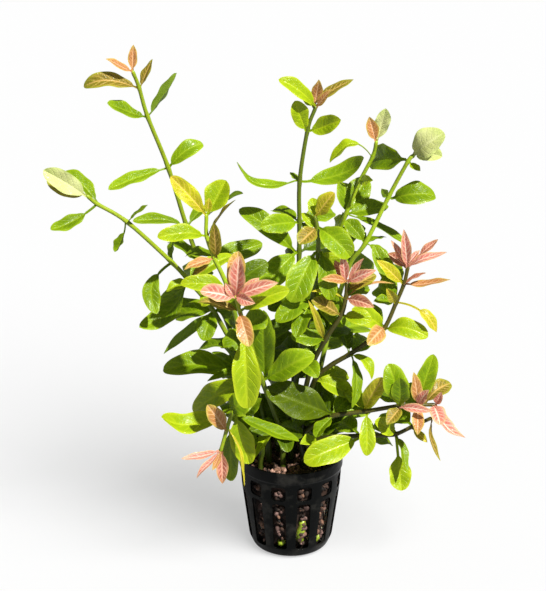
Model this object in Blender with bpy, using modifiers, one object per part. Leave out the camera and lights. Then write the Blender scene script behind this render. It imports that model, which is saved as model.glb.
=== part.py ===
"""A potted dwarf hygrophila with rose veined young leaves, an aquarium plant in a slotted nursery pot.

The origin is the centre of the pot's underside, +Z is up and +X is to the viewer's right.
Lengths in the tables are millimetres, and everything built in the scene is in metres.
"""
import math
from collections import namedtuple

import bmesh
import bpy
from mathutils import Matrix, Vector, noise
from mathutils.bvhtree import BVHTree

MM = 0.001

# Pot: a 50 mm slotted nursery pot
POT_HEIGHT = 50.0
POT_RIM_RADIUS = 26.0
POT_WALL = 1.0
POT_COLUMNS = 12
SIDES_PER_COLUMN = 3
SLOT_ANGLE = math.radians(17.0)
FIT_GAP = 0.3
# Outer outline of the pot from the rim down to the middle of the base: radius, height
POT_OUTLINE = (
    (POT_RIM_RADIUS, POT_HEIGHT),
    (25.9, 44.6),
    (25.4, 43.8),
    (25.2, 42.0),
    (24.7, 34.5),
    (24.5, 32.5),
    (21.0, 6.0),
    (18.9, 1.4),
    (16.2, 0.0),
    (14.4, 0.0),
    (6.4, 0.0),
)
# Rows of the outline that are open in a slot column, counted from the rim
UPPER_SLOT_ROW = 3
LOWER_SLOT_ROW = 5
BASE_SLOT_ROW = 9

# Growing medium: clay granules and root fibre pressed into the pot
MEDIUM_EDGE_HEIGHT = 46.0
MEDIUM_DOME = 2.5
MEDIUM_LUMP = 1.3
MEDIUM_SIDES = 16

# Shoots
STEM_BASE_RADIUS = 1.6
STEM_TIP_RADIUS = 0.9
NODE_SWELL = 1.2
NODE_HALF_LENGTH = 0.7
ROOT_DEPTH_HEIGHT = 32.0
ROOT_TOP_HEIGHT = 48.5
SPAN_POINTS = 2
BEND_ANGLE = math.radians(38)

# Leaves
BLADE_THICKNESS = 0.7
BLADE_SHARES = (0.38, 0.78)
BASE_TAPER = 0.8
BROAD_TIP_TAPER = 0.55
NARROW_TIP_TAPER = 0.8
BROAD_LEAF_WIDTH = 7.0
LONG_STALK = 0.2
PETIOLE_HALF_WIDTH = 0.7
SEPARATE_LEAVES = 47
TEST_MARGIN = 0.3
FUSED_ROOT_SHARE = 0.18
# Leaves on the far side, which the photo hides: the highest node that has one, then where its tip is
FAR_LEAF_TOP = 145.0
FAR_LEAF_DEPTH = 16.0
FAR_LEAF_LEAN = 9.0
FAR_LEAF_INWARD = 30.0
FAR_LEAF_RISE = 8.0
FAR_LEAF_WIDTH = 11.0

# Where the plant is looked at from: the picked points lie in the plane y = 0 as seen from here
VIEW_DISTANCE = 750.0
VIEW_TILT = math.radians(20.0)
VIEW_AIM = Vector((-9.0, 0.0, 133.0))
VIEWER = VIEW_AIM + VIEW_DISTANCE * Vector((0.0, -math.cos(VIEW_TILT), math.sin(VIEW_TILT)))

# A stem: where it is rooted, then the nodes it passes as (x, z, depth)
Stem = namedtuple("Stem", "name root path leaves")
# A leaf: the node it grows from, counted from 1, its tip (x, z), how much deeper than the node its tip
# is, the width of its blade, how far it turns from the viewer in degrees, how high it arches against
# its length, its colour, the share of its length that is stalk, its sideways bow, and its fold
Leaf = namedtuple(
    "Leaf", "node tip depth width turn arch kind petiole sway fold", defaults=(0.07, 0.0, 0.16)
)

# How a leaf is moved to clear the others: how much deeper, how much more arched, turned and scaled
Change = namedtuple("Change", "shift lift spin scale")

# A face of a stem's collar that a leaf can grow out of
CollarFace = namedtuple("CollarFace", "centre normal corners")

SEEN_SHOOTS = (
    Stem("tall_left_stem", root=(-6, 5), path=(
        (-9.5, 62, 6),
        (-21.5, 91.5, 16),
        (-33.5, 125.5, 27),
        (-44, 150, 30),
        (-50, 168, 30),
        (-58, 196.5, 23),
        (-67, 221, 15),
        (-70.5, 234.5, 11),
        (-73, 241.5, 8),
    ), leaves=(
        Leaf(9, (-72.5, 254.5), 3, 4.5, 10, 0, "orange"),
        Leaf(9, (-85.5, 248), -6, 4.5, 40, 0, "orange"),
        Leaf(8, (-96, 235), -4, 8, 40, 0.2, "yellow"),
        Leaf(8, (-64, 248), 6, 6, 50, 0, "green"),
        Leaf(7, (-85.5, 227.5), -9, 8.5, 50, -0.01, "green"),
        Leaf(7, (-53, 241.5), 6, 9, 125, -0.05, "green"),
        Leaf(6, (-86.5, 186), -9, 8.5, 45, 0.04, "lime"),
        Leaf(6, (-41.5, 208), 4, 9, 30, 0.2, "lime"),
        Leaf(5, (-75.5, 170.5), -6, 8.5, 62, 0.1, "green"),
        Leaf(5, (-36, 179), 21, 8.5, 40, 0.1, "green"),
        Leaf(4, (-59, 159.5), 9, 9, 55, 0.1, "green"),
        Leaf(4, (-14, 159.5), 15, 11, 30, -0.06, "green"),
        Leaf(3, (-65.5, 126.5), -3, 10, 50, 0.12, "green"),
        Leaf(3, (-16, 150), 9, 11, 20, 0.08, "lime"),
        Leaf(2, (-39, 103.5), 6, 8.5, 60, 0.1, "green"),
        Leaf(2, (-32, 91), 18, 9, 40, 0.12, "green"),
        Leaf(3, (-27, 132.5), 18, 8.5, 40, 0.12, "green"),
        Leaf(4, (-50, 141), 16, 8.5, 40, 0.12, "green"),
        Leaf(1, (-7.5, 81.5), 18, 11, 30, 0.1, "green"),
        Leaf(1, (3.5, 77), 14, 11.5, 20, 0.1, "green"),
        Leaf(2, (-6.5, 104.5), 14, 12, 30, 0.1, "green"),
    )),
    Stem("low_left_stem", root=(-12, 0), path=(
        (-14.5, 60.5, 4),
        (-22.5, 93, 7),
        (-37.5, 124.5, 8),
        (-49, 140, 8),
        (-57.5, 150, 4),
        (-78, 170, -4),
        (-92, 179, -8),
        (-96, 182.5, -10),
    ), leaves=(
        Leaf(8, (-116.5, 195.5), -6, 9.5, 15, 0.05, "pale"),
        Leaf(8, (-115, 191.5), 3, 8.5, -30, 0.05, "bronze"),
        Leaf(7, (-108, 194), 9, 10.5, 60, 0.1, "green"),
        Leaf(7, (-114.5, 166), -12, 8.5, 35, -0.1, "green", petiole=0.25),
        Leaf(6, (-68, 178.5), -4, 7, 80, 0, "green"),
        Leaf(6, (-84.5, 155), -4, 8, 60, -0.1, "green", petiole=0.3),
        Leaf(5, (-65, 123.5), -12, 8.5, 20, 0.05, "green", petiole=0.25, sway=0.22),
        Leaf(5, (-55, 163), 9, 8, 70, 0.05, "green"),
        Leaf(4, (-74, 116.5), -9, 12, 35, -0.26, "green"),
        Leaf(4, (-27.5, 153), 12, 9, 30, 0.08, "lime"),
        Leaf(3, (-43, 109.5), -12, 9.5, 10, 0.1, "green"),
        Leaf(3, (-62.5, 102.5), -6, 6.5, 150, 0, "green"),
        Leaf(2, (-63, 93.5), -6, 13, 35, 0.18, "green"),
        Leaf(2, (-41.5, 88), -3, 5, 30, 0.05, "green"),
        Leaf(4, (-63.5, 128.5), 3, 9, 35, 0, "green"),
        Leaf(2, (-34, 105.5), 14, 10.5, 40, 0.12, "green"),
        Leaf(3, (-56, 121.5), 9, 10.5, 40, 0.1, "green"),
        Leaf(3, (-26, 115), 14, 9.5, 40, 0.12, "green"),
        Leaf(4, (-60.5, 135), 3, 6.5, 30, 0.1, "lime"),
        Leaf(1, (-32.5, 70.5), 8, 10.5, 30, 0.1, "green"),
    )),
    Stem("front_rosette_stem", root=(-4, -10), path=(
        (-5.5, 62, -12),
        (-14.5, 89, -25),
        (-22, 115, -38),
        (-25, 124.5, -42),
        (-27, 132, -49),
    ), leaves=(
        Leaf(5, (-25.5, 155.5), 3, 8.5, 10, 0.05, "orange"),
        Leaf(5, (-25, 153), -4, 7.5, 0, 0.05, "pink"),
        Leaf(5, (-44, 135), -6, 8, 10, 0.08, "pink"),
        Leaf(5, (-6.5, 139.5), -3, 6.5, 20, 0.08, "pink"),
        Leaf(5, (-15.5, 142), 0, 5, 10, 0.05, "pink"),
        Leaf(5, (-32, 139.5), -4, 4, 0, 0.05, "pink"),
        Leaf(5, (-17.5, 129), -9, 5.5, 0, 0.08, "pink"),
        Leaf(4, (-1, 136), -3, 8.5, 25, 0.1, "lime"),
        Leaf(4, (-45.5, 129.5), 0, 7, 50, 0.08, "bronze"),
        Leaf(4, (-20.5, 106.5), -12, 8, 0, 0.08, "orange"),
        Leaf(3, (-21.5, 73.5), -9, 13, 5, 0.08, "lime"),
        Leaf(2, (-13.5, 125.5), -6, 12, 10, 0.05, "green"),
        Leaf(2, (11.5, 102), -9, 13, 15, 0.1, "lime"),
        Leaf(2, (-48.5, 71), 14, 13, 25, 0.12, "lime"),
        Leaf(1, (-17.5, 47), -9, 7, 40, 0.05, "lime"),
        Leaf(2, (-29, 93), -6, 8.5, 20, 0.1, "green"),
        Leaf(1, (-1.5, 49.5), -12, 8, 30, 0.1, "green"),
        Leaf(1, (-21.5, 60.5), -6, 8.5, 20, 0.1, "green"),
    )),
    Stem("yellow_tip_stem", root=(-11, -6), path=(
        (-12.5, 64.5, -6),
        (-23, 104.5, -11),
        (-30.5, 136, -11),
        (-37, 152, -11),
        (-40.5, 163, -11),
        (-40.5, 173, -11),
    ), leaves=(
        Leaf(6, (-57, 192.5), -3, 8.5, 15, 0.05, "yellow"),
        Leaf(6, (-31, 190.5), 3, 12, 10, 0.05, "lime", fold=0.35),
        Leaf(6, (-23, 184), 12, 8, 100, 0.05, "green"),
        Leaf(6, (-39, 182), 0, 4, 10, 0, "yellow"),
        Leaf(5, (-64, 162.5), -9, 8.5, 35, 0.12, "lime"),
        Leaf(5, (-26.5, 181), -6, 7, 80, 0.05, "bronze"),
        Leaf(4, (-37, 170), -9, 6, 5, 0, "bronze"),
        Leaf(4, (-51.5, 146), -9, 6, 30, 0.05, "orange"),
        Leaf(4, (-49, 141), -4, 6, 60, 0.05, "bronze"),
        Leaf(3, (-53.5, 139), -6, 8.5, 20, 0.1, "lime"),
        Leaf(3, (-11.5, 150), 6, 10, 20, 0.08, "green"),
        Leaf(2, (-45.5, 104.5), 12, 11, 60, 0.1, "green"),
        Leaf(2, (4, 121.5), 3, 11, 25, 0.1, "green"),
        Leaf(2, (-29, 116), 14, 8.5, 40, 0.12, "green"),
        Leaf(3, (-43.5, 127.5), -9, 9, 30, 0.1, "lime"),
        Leaf(4, (-50.5, 153), 8, 8, 60, 0.1, "green"),
        Leaf(1, (-27, 86.5), 10, 11, 40, 0.1, "green"),
        Leaf(1, (0.5, 73.5), 3, 7.5, 20, 0.1, "green"),
        Leaf(2, (-13.5, 112), 6, 7, 30, 0.1, "green"),
    )),
    Stem("low_front_stem", root=(-15, -11), path=(
        (-14.5, 58, -16),
        (-23, 68.5, -24),
        (-28.5, 71.5, -30),
        (-32, 62, -31),
        (-35, 51, -31),
    ), leaves=(
        Leaf(3, (-64.5, 69), -6, 11.5, 30, -0.32, "lime"),
        Leaf(3, (4, 55.5), -12, 8.5, 40, -0.05, "green"),
        Leaf(3, (-21, 43), -3, 12, 5, 0.06, "lime"),
        Leaf(4, (-41.5, 75.5), -8, 8, 10, 0.05, "orange"),
        Leaf(4, (-23.5, 30.5), -6, 3.5, 60, 0.08, "yellow"),
        Leaf(4, (-30.5, 33.5), 4, 9, 10, 0.05, "green"),
        Leaf(5, (-55, 46), -4, 4.5, 40, -0.06, "pink"),
        Leaf(5, (-47.5, 35), -4, 3.5, 40, 0, "pink"),
        Leaf(5, (-34.5, 32), -3, 6, 5, 0.05, "rose"),
        Leaf(5, (-39.5, 39.5), -4, 3, 10, 0, "orange"),
        Leaf(2, (-14.5, 79), -6, 7, 20, 0.08, "green"),
        Leaf(1, (-26.5, 53), -9, 8, 30, 0.08, "green"),
    )),
    Stem("tall_centre_stem", root=(2, 3), path=(
        (0.5, 67, 4),
        (2, 104.5, 11),
        (3, 130.5, 11),
        (3.5, 155, 10),
        (3.5, 170, 8),
        (3.5, 190, 4),
        (7, 214.5, 0),
        (10.5, 225, -2),
    ), leaves=(
        Leaf(8, (-6.5, 238.5), -6, 8, 35, 0.1, "lime"),
        Leaf(8, (28, 238.5), 0, 6.5, 55, 0.1, "bronze"),
        Leaf(8, (12, 238.5), -3, 5.5, 5, 0, "orange"),
        Leaf(8, (18, 234), -4, 4, 20, 0.05, "orange"),
        Leaf(8, (5, 232.5), 6, 6, 20, 0.05, "lime"),
        Leaf(7, (1, 228.5), -6, 8.5, 15, 0, "lime"),
        Leaf(7, (22.5, 219.5), -9, 9, 20, -0.04, "lime"),
        Leaf(6, (-26, 199.5), -6, 8.5, 55, -0.28, "green"),
        Leaf(6, (33.5, 201.5), -9, 11, 30, -0.2, "lime"),
        Leaf(5, (19.5, 175), 14, 10, 20, 0.1, "green"),
        Leaf(6, (-1, 194.5), 6, 3.5, 30, 0, "green"),
        Leaf(5, (-15, 167.5), -12, 10, 20, 0.08, "lime"),
        Leaf(5, (-9.5, 175.5), 12, 8.5, 60, 0.1, "green"),
        Leaf(4, (-25, 176.5), 6, 10.5, 20, 0.14, "green"),
        Leaf(4, (-14.5, 136.5), -12, 12, 10, 0.1, "lime"),
        Leaf(3, (-11.5, 126), -9, 9, 20, 0.1, "green"),
        Leaf(3, (25.5, 130.5), 9, 11, 20, 0.1, "green"),
        Leaf(2, (-20, 115), 18, 11, 20, 0.1, "green"),
        Leaf(2, (28.5, 112.5), 15, 11, 20, 0.1, "green"),
        Leaf(1, (24, 93), -6, 13, 20, 0.1, "green"),
        Leaf(1, (-19.5, 79), -3, 11, 20, 0.1, "green"),
        Leaf(2, (5, 112), 20, 7.5, 50, 0.12, "green"),
        Leaf(3, (8, 143), 20, 10, 50, 0.12, "green"),
        Leaf(4, (-2, 150), 20, 7.5, 50, 0.12, "green"),
        Leaf(5, (6.5, 159), 18, 9, 50, 0.12, "green"),
        Leaf(1, (14.5, 53), 16, 11, 30, 0.1, "green"),
        Leaf(2, (-10.5, 87.5), 14, 12, 30, 0.1, "green"),
        Leaf(4, (19, 161), 12, 10, 30, 0.1, "green"),
    )),
    Stem("right_back_stem", root=(8, 8), path=(
        (4.5, 67, 11),
        (13, 115, 27),
        (20, 156, 27),
        (25.5, 174, 23),
        (32, 190.5, 21),
        (37.5, 202, 19),
        (39, 208.5, 17),
    ), leaves=(
        Leaf(7, (35.5, 221), 0, 6, 10, 0, "orange"),
        Leaf(7, (43, 225), 0, 7.5, 10, 0, "pale"),
        Leaf(6, (17.5, 199), -6, 8, 55, 0.42, "lime", petiole=0.3),
        Leaf(5, (38, 190.5), -12, 5.5, 20, 0.05, "lime"),
        Leaf(4, (34.5, 192), 12, 12, 10, 0.05, "green"),
        Leaf(4, (24, 189.5), 15, 11, 15, 0.05, "green"),
        Leaf(4, (45.5, 178), -3, 10.5, 30, 0.1, "green"),
        Leaf(4, (55.5, 158), -15, 8, 60, 0.05, "green"),
        Leaf(3, (5, 165), 12, 9, 40, 0.1, "green"),
        Leaf(3, (38.5, 141), 15, 11, 30, 0.1, "green"),
        Leaf(2, (38, 115), 21, 12, 30, 0.1, "green"),
        Leaf(2, (20.5, 122.5), 20, 9, 50, 0.12, "green"),
        Leaf(3, (14.5, 148), 18, 8.5, 50, 0.12, "green"),
        Leaf(4, (22, 162), 16, 9.5, 50, 0.12, "lime"),
        Leaf(1, (13, 82.5), 20, 12, 50, 0.1, "green"),
        Leaf(1, (25.5, 62), 12, 12, 30, 0.1, "green"),
        Leaf(1, (-8.5, 71.5), 14, 9, 30, 0.1, "green"),
        Leaf(2, (-1.5, 102.5), 14, 11.5, 30, 0.1, "green"),
        Leaf(3, (35, 167), 12, 11, 30, 0.1, "green"),
    )),
    Stem("right_stem", root=(13, 4), path=(
        (9.5, 67, 7),
        (18.5, 115, 15),
        (27, 147, 11),
        (35, 159.5, 8),
        (45.5, 182.5, 8),
        (54, 199.5, 4),
        (56.5, 202.5, 4),
    ), leaves=(
        Leaf(7, (70.5, 213.5), -4, 13, 10, 0.1, "pale"),
        Leaf(7, (70, 202), -9, 9, 30, 0.08, "pale"),
        Leaf(7, (62.5, 216), 6, 4, 20, 0, "bronze"),
        Leaf(6, (38, 201.5), 27, 13, 0, 0.08, "green"),
        Leaf(6, (60, 195), -6, 4, 40, 0, "lime"),
        Leaf(5, (67.5, 183), -3, 12, 15, 0.24, "green"),
        Leaf(5, (42, 186.5), -9, 4, 20, 0, "green"),
        Leaf(4, (45, 162.5), 6, 6, 70, 0.08, "green"),
        Leaf(4, (46.5, 150), -6, 7, 60, 0.08, "green"),
        Leaf(4, (25.5, 171), 6, 8, 20, 0.08, "green"),
        Leaf(3, (14.5, 136), 12, 10, 40, 0.1, "green"),
        Leaf(1, (40, 73.5), 6, 12, 30, 0.1, "green"),
        Leaf(3, (22, 139), 16, 8, 50, 0.12, "green"),
        Leaf(4, (27.5, 167), 12, 7.5, 60, 0.12, "green"),
        Leaf(1, (21, 84.5), 18, 12, 50, 0.1, "green"),
        Leaf(1, (-3.5, 56.5), 12, 10, 20, 0.1, "green"),
        Leaf(2, (3, 121.5), 10, 10, 30, 0.1, "green"),
    )),
    Stem("right_pink_stem", root=(15, -3), path=(
        (7.5, 64.5, -2),
        (12, 89.5, -9),
        (28.5, 102.5, -14),
        (45, 116, -15),
        (50.5, 129.5, -15),
        (54, 139, -15),
        (55.5, 147, -15),
    ), leaves=(
        Leaf(7, (53, 166.5), -4, 5, 5, 0.05, "pink"),
        Leaf(7, (47, 161), 0, 3.5, 10, 0, "pink"),
        Leaf(7, (69.5, 161.5), 3, 4, 30, 0, "rose", petiole=0.4),
        Leaf(7, (74, 155), -4, 4.5, 30, 0.08, "pink"),
        Leaf(7, (61, 156), 3, 3.5, 20, 0, "pink"),
        Leaf(7, (46, 154.5), 6, 6, 20, 0.05, "rose"),
        Leaf(6, (64.5, 144.5), -4, 4, 60, 0.05, "rose"),
        Leaf(6, (76.5, 141), -6, 6, 50, -0.06, "orange"),
        Leaf(6, (40.5, 151), -3, 6.5, 20, 0.05, "yellow"),
        Leaf(5, (70.5, 114), -8, 6.5, 40, 0.22, "yellow", petiole=0.45),
        Leaf(5, (39, 158.5), 12, 8.5, 30, 0.05, "green"),
        Leaf(5, (39.5, 130), -4, 6, 40, 0.05, "green"),
        Leaf(5, (45.5, 137), -10, 5, 10, 0.05, "yellow"),
        Leaf(4, (66.5, 111.5), -9, 10, 30, 0.24, "lime"),
        Leaf(4, (37, 107.5), -15, 8, 5, 0.1, "orange"),
        Leaf(4, (29, 126), -9, 10, 20, 0.08, "lime"),
        Leaf(3, (39.5, 89), -9, 7, 55, 0.3, "lime"),
        Leaf(3, (30, 73.5), -12, 7, 50, 0.1, "green"),
        Leaf(2, (31, 80), -3, 10, 20, 0.08, "lime"),
        Leaf(2, (-7.5, 98.5), 0, 10, 30, 0.08, "green"),
        Leaf(1, (19, 71.5), -10, 8.5, 30, 0.1, "green"),
        Leaf(3, (22.5, 117), 10, 9, 40, 0.1, "green"),
        Leaf(1, (-7.5, 55), -4, 9, 20, 0.1, "green"),
        Leaf(1, (26, 80), 6, 11, 20, 0.1, "green"),
        Leaf(2, (28, 91), 10, 9.5, 30, 0.1, "lime"),
    )),
    Stem("centre_pink_stem", root=(6, -9), path=(
        (4.5, 64.5, -8),
        (9, 93, -16),
        (16.5, 110, -23),
        (24, 123, -27),
        (26, 131.5, -27),
        (26.5, 139, -28),
    ), leaves=(
        Leaf(6, (20.5, 151), 0, 6, 10, 0.05, "rose"),
        Leaf(6, (24, 154.5), -4, 4.5, 5, 0, "pink"),
        Leaf(6, (34.5, 152), -2, 4, 20, 0.05, "pink"),
        Leaf(6, (14, 141.5), -8, 4.5, 30, 0.1, "orange"),
        Leaf(6, (40.5, 146), -6, 5, 20, 0.08, "pink"),
        Leaf(5, (40.5, 143.5), 3, 8, 30, 0.08, "bronze"),
        Leaf(5, (40, 127), -8, 6, 20, 0.12, "rose"),
        Leaf(5, (49.5, 139), 0, 4, 60, 0.15, "orange"),
        Leaf(5, (9.5, 135), -6, 5, 70, 0.05, "yellow"),
        Leaf(4, (9.5, 130.5), -3, 8, 30, 0.08, "bronze"),
        Leaf(4, (39, 119.5), -3, 8, 30, 0.08, "lime"),
        Leaf(3, (8, 130.5), -6, 4, 10, 0, "yellow"),
        Leaf(3, (-0.5, 112), -6, 9.5, 20, 0.08, "green"),
        Leaf(2, (4, 103.5), -9, 7, 20, 0.1, "lime"),
        Leaf(1, (2.5, 82.5), -12, 10, 20, 0.1, "green"),
        Leaf(2, (7, 107.5), 8, 8, 30, 0.1, "green"),
    )),
    Stem("low_right_stem", root=(12, -12), path=(
        (7, 59.5, -12),
        (20.5, 69.5, -18),
        (37, 72, -21),
        (54, 75, -25),
        (62.5, 75.5, -25),
        (70.5, 75.5, -25),
    ), leaves=(
        Leaf(6, (74, 82.5), -4, 4, 10, 0, "pink"),
        Leaf(6, (74, 64.5), -10, 8, 10, 0.12, "pink"),
        Leaf(6, (87, 57.5), -2, 7, 30, -0.28, "pink"),
        Leaf(5, (68, 83.5), -6, 5.5, 10, 0.05, "pink"),
        Leaf(5, (60, 93), -3, 6, 10, 0.05, "orange"),
        Leaf(5, (69.5, 102.5), 3, 9, 10, 0.03, "lime"),
        Leaf(5, (78.5, 87), 3, 8.5, 25, 0.2, "bronze"),
        Leaf(5, (63, 59), -9, 6, 10, 0.05, "orange"),
        Leaf(4, (47.5, 97.5), -3, 12, 10, 0.05, "lime"),
        Leaf(4, (53.5, 90), -9, 8.5, 10, 0.05, "green"),
        Leaf(4, (47.5, 64.5), -8, 7, 20, 0.05, "bronze"),
        Leaf(4, (70, 72), -9, 4.5, 20, 0.05, "pink"),
        Leaf(3, (45.5, 90), -9, 8.5, 20, 0.08, "yellow"),
        Leaf(3, (38, 47.5), -9, 8, 10, 0.05, "lime"),
        Leaf(2, (-12.5, 83), -9, 17, 5, 0.06, "green"),
        Leaf(2, (34, 84.5), 9, 11, 20, 0.08, "green"),
        Leaf(2, (12.5, 57.5), -9, 8, 40, 0.1, "green"),
        Leaf(3, (27, 82.5), 8, 8, 30, 0.08, "lime"),
        Leaf(1, (20.5, 54), 6, 8, 20, 0.1, "green"),
        Leaf(1, (-5.5, 64), -12, 8.5, 20, 0.1, "green"),
    )),
    Stem("lower_right_stem", root=(17, -7), path=(
        (13.5, 56.5, -12),
        (33.5, 58.5, -17),
        (52, 59.5, -18),
        (60, 63.5, -19),
        (69, 68, -21),
    ), leaves=(
        Leaf(5, (75, 44.5), -6, 4.5, 60, -0.12, "bronze"),
        Leaf(4, (68, 55), -4, 4, 20, 0, "yellow"),
        Leaf(3, (56, 28), -9, 11, 5, 0.05, "lime", petiole=0.35),
        Leaf(3, (58.5, 38), -14, 5.5, 40, 0.08, "green"),
        Leaf(3, (41.5, 66.5), -8, 9, 15, 0.08, "lime"),
        Leaf(2, (6.5, 44), -12, 13, 10, 0.06, "lime"),
        Leaf(2, (50.5, 53.5), 9, 8, 40, 0.06, "green"),
        Leaf(1, (27, 72.5), 9, 10, 30, 0.1, "green"),
        Leaf(1, (4.5, 54), -12, 7, 20, 0.1, "lime"),
    )),
    Stem("centre_stem", root=(0, -4), path=(
        (0, 64.5, -6),
        (4, 99.5, -17),
        (10, 130.5, -23),
        (12.5, 155, -23),
        (12, 167, -23),
        (11, 172, -23),
    ), leaves=(
        Leaf(6, (20, 184.5), -4, 8, 10, 0.05, "yellow"),
        Leaf(6, (9.5, 182), 6, 6, 10, 0.05, "lime"),
        Leaf(5, (3.5, 159), -10, 8.5, 10, 0.08, "bronze"),
        Leaf(5, (28, 152.5), -9, 12, 15, 0.1, "lime"),
        Leaf(5, (4.5, 174.5), 4, 5, 20, 0.05, "lime"),
        Leaf(4, (-0.5, 129.5), -12, 13, 10, 0.1, "lime"),
        Leaf(4, (22, 146), 9, 8, 20, 0.08, "lime"),
        Leaf(3, (26, 118), -3, 10, 20, 0.08, "green"),
        Leaf(3, (-7.5, 119.5), -12, 10, 20, 0.08, "green"),
        Leaf(2, (-17.5, 96), 6, 11, 20, 0.08, "green"),
        Leaf(2, (13, 90), -14, 8.5, 20, 0.1, "green"),
        Leaf(3, (2, 111), -14, 9, 20, 0.1, "green"),
        Leaf(4, (18.5, 130.5), -9, 9, 20, 0.1, "green"),
        Leaf(3, (22.5, 137), 4, 7.5, 30, 0.1, "lime"),
        Leaf(1, (-12, 85.5), 0, 10.5, 20, 0.1, "green"),
    )),
)


def far_leaves(stem):
    """A leaf towards the back at each lower node, leaning left and right in turn, or inwards far out."""
    made = []
    for node, (x, z, depth) in enumerate(stem.path[:-1], start=1):
        if z > FAR_LEAF_TOP:
            break
        lean = FAR_LEAF_LEAN if node % 2 else -FAR_LEAF_LEAN
        if abs(x) > FAR_LEAF_INWARD:
            lean = -math.copysign(FAR_LEAF_LEAN, x)
        tip = (x + lean, z + FAR_LEAF_RISE)
        made.append(Leaf(node, tip, FAR_LEAF_DEPTH, FAR_LEAF_WIDTH, 15, 0.12, "green"))
    return tuple(made)


SHOOTS = [stem._replace(leaves=stem.leaves + far_leaves(stem)) for stem in SEEN_SHOOTS]

# Plain colours of the leaves by age
LEAF_COLOURS = {
    "green": (0.10, 0.27, 0.02),
    "lime": (0.32, 0.56, 0.03),
    "yellow": (0.58, 0.60, 0.06),
    "pale": (0.50, 0.58, 0.22),
    "bronze": (0.33, 0.25, 0.06),
    "orange": (0.66, 0.33, 0.12),
    "pink": (0.80, 0.26, 0.24),
    "rose": (0.58, 0.17, 0.14),
}
STEM_COLOUR = (0.20, 0.33, 0.04)
POT_COLOUR = (0.006, 0.007, 0.008)
MEDIUM_COLOUR = (0.16, 0.085, 0.055)


def material(name, colour, roughness):
    """Principled material of one plain colour."""
    made = bpy.data.materials.new(name)
    made.use_nodes = True
    shader = made.node_tree.nodes["Principled BSDF"]
    shader.inputs["Base Color"].default_value = (*colour, 1.0)
    shader.inputs["Roughness"].default_value = roughness
    made.diffuse_color = (*colour, 1.0)
    return made


def add_object(name, mesh, collection, look):
    """New object of a mesh, in a collection, with one material."""
    made = bpy.data.objects.new(name, mesh)
    collection.objects.link(made)
    mesh.materials.clear()
    mesh.materials.append(look)
    return made


def make_guide(guide):
    """Mark an object that only cuts or joins others."""
    guide.hide_render = True
    guide.display_type = "WIRE"


def on_sight_line(x, z, depth):
    """The point at this depth that the viewer sees at (x, z) of the plane y = 0."""
    near = Vector((x, 0.0, z))
    reach = (depth - VIEWER.y) / (0.0 - VIEWER.y)
    return VIEWER + (near - VIEWER) * reach


def catmull(before, start, end, after, t):
    """Point at a share t of a smooth span from start to end, between its outer neighbours."""
    return 0.5 * (
        2 * start
        + (end - before) * t
        + (2 * before - 5 * start + 4 * end - after) * t ** 2
        + (3 * start - before - 3 * end + after) * t ** 3
    )


def smooth_path(points, span_points):
    """Points along a smooth curve through the given ones, with span_points steps where it bends."""
    ends = [2 * points[0] - points[1]] + list(points) + [2 * points[-1] - points[-2]]
    path = []
    for index in range(len(points) - 1):
        before, start, end, after = ends[index:index + 4]
        turned = (end - start).angle(after - end) + (start - before).angle(end - start)
        steps = span_points if turned > BEND_ANGLE else 1
        path += [catmull(before, start, end, after, step / steps) for step in range(steps)]
    path.append(points[-1])
    return path


def stem_nodes(stem):
    """The stem's own points in space: two in the pot, then its nodes."""
    root_x, root_y = stem.root
    buried = [Vector((root_x, root_y, ROOT_DEPTH_HEIGHT)), Vector((root_x, root_y, ROOT_TOP_HEIGHT))]
    return buried + [on_sight_line(x, z, depth) for x, z, depth in stem.path]


def stem_radius(share):
    """Radius at a share of the stem's length from the root."""
    return STEM_BASE_RADIUS + (STEM_TIP_RADIUS - STEM_BASE_RADIUS) * share


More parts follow.
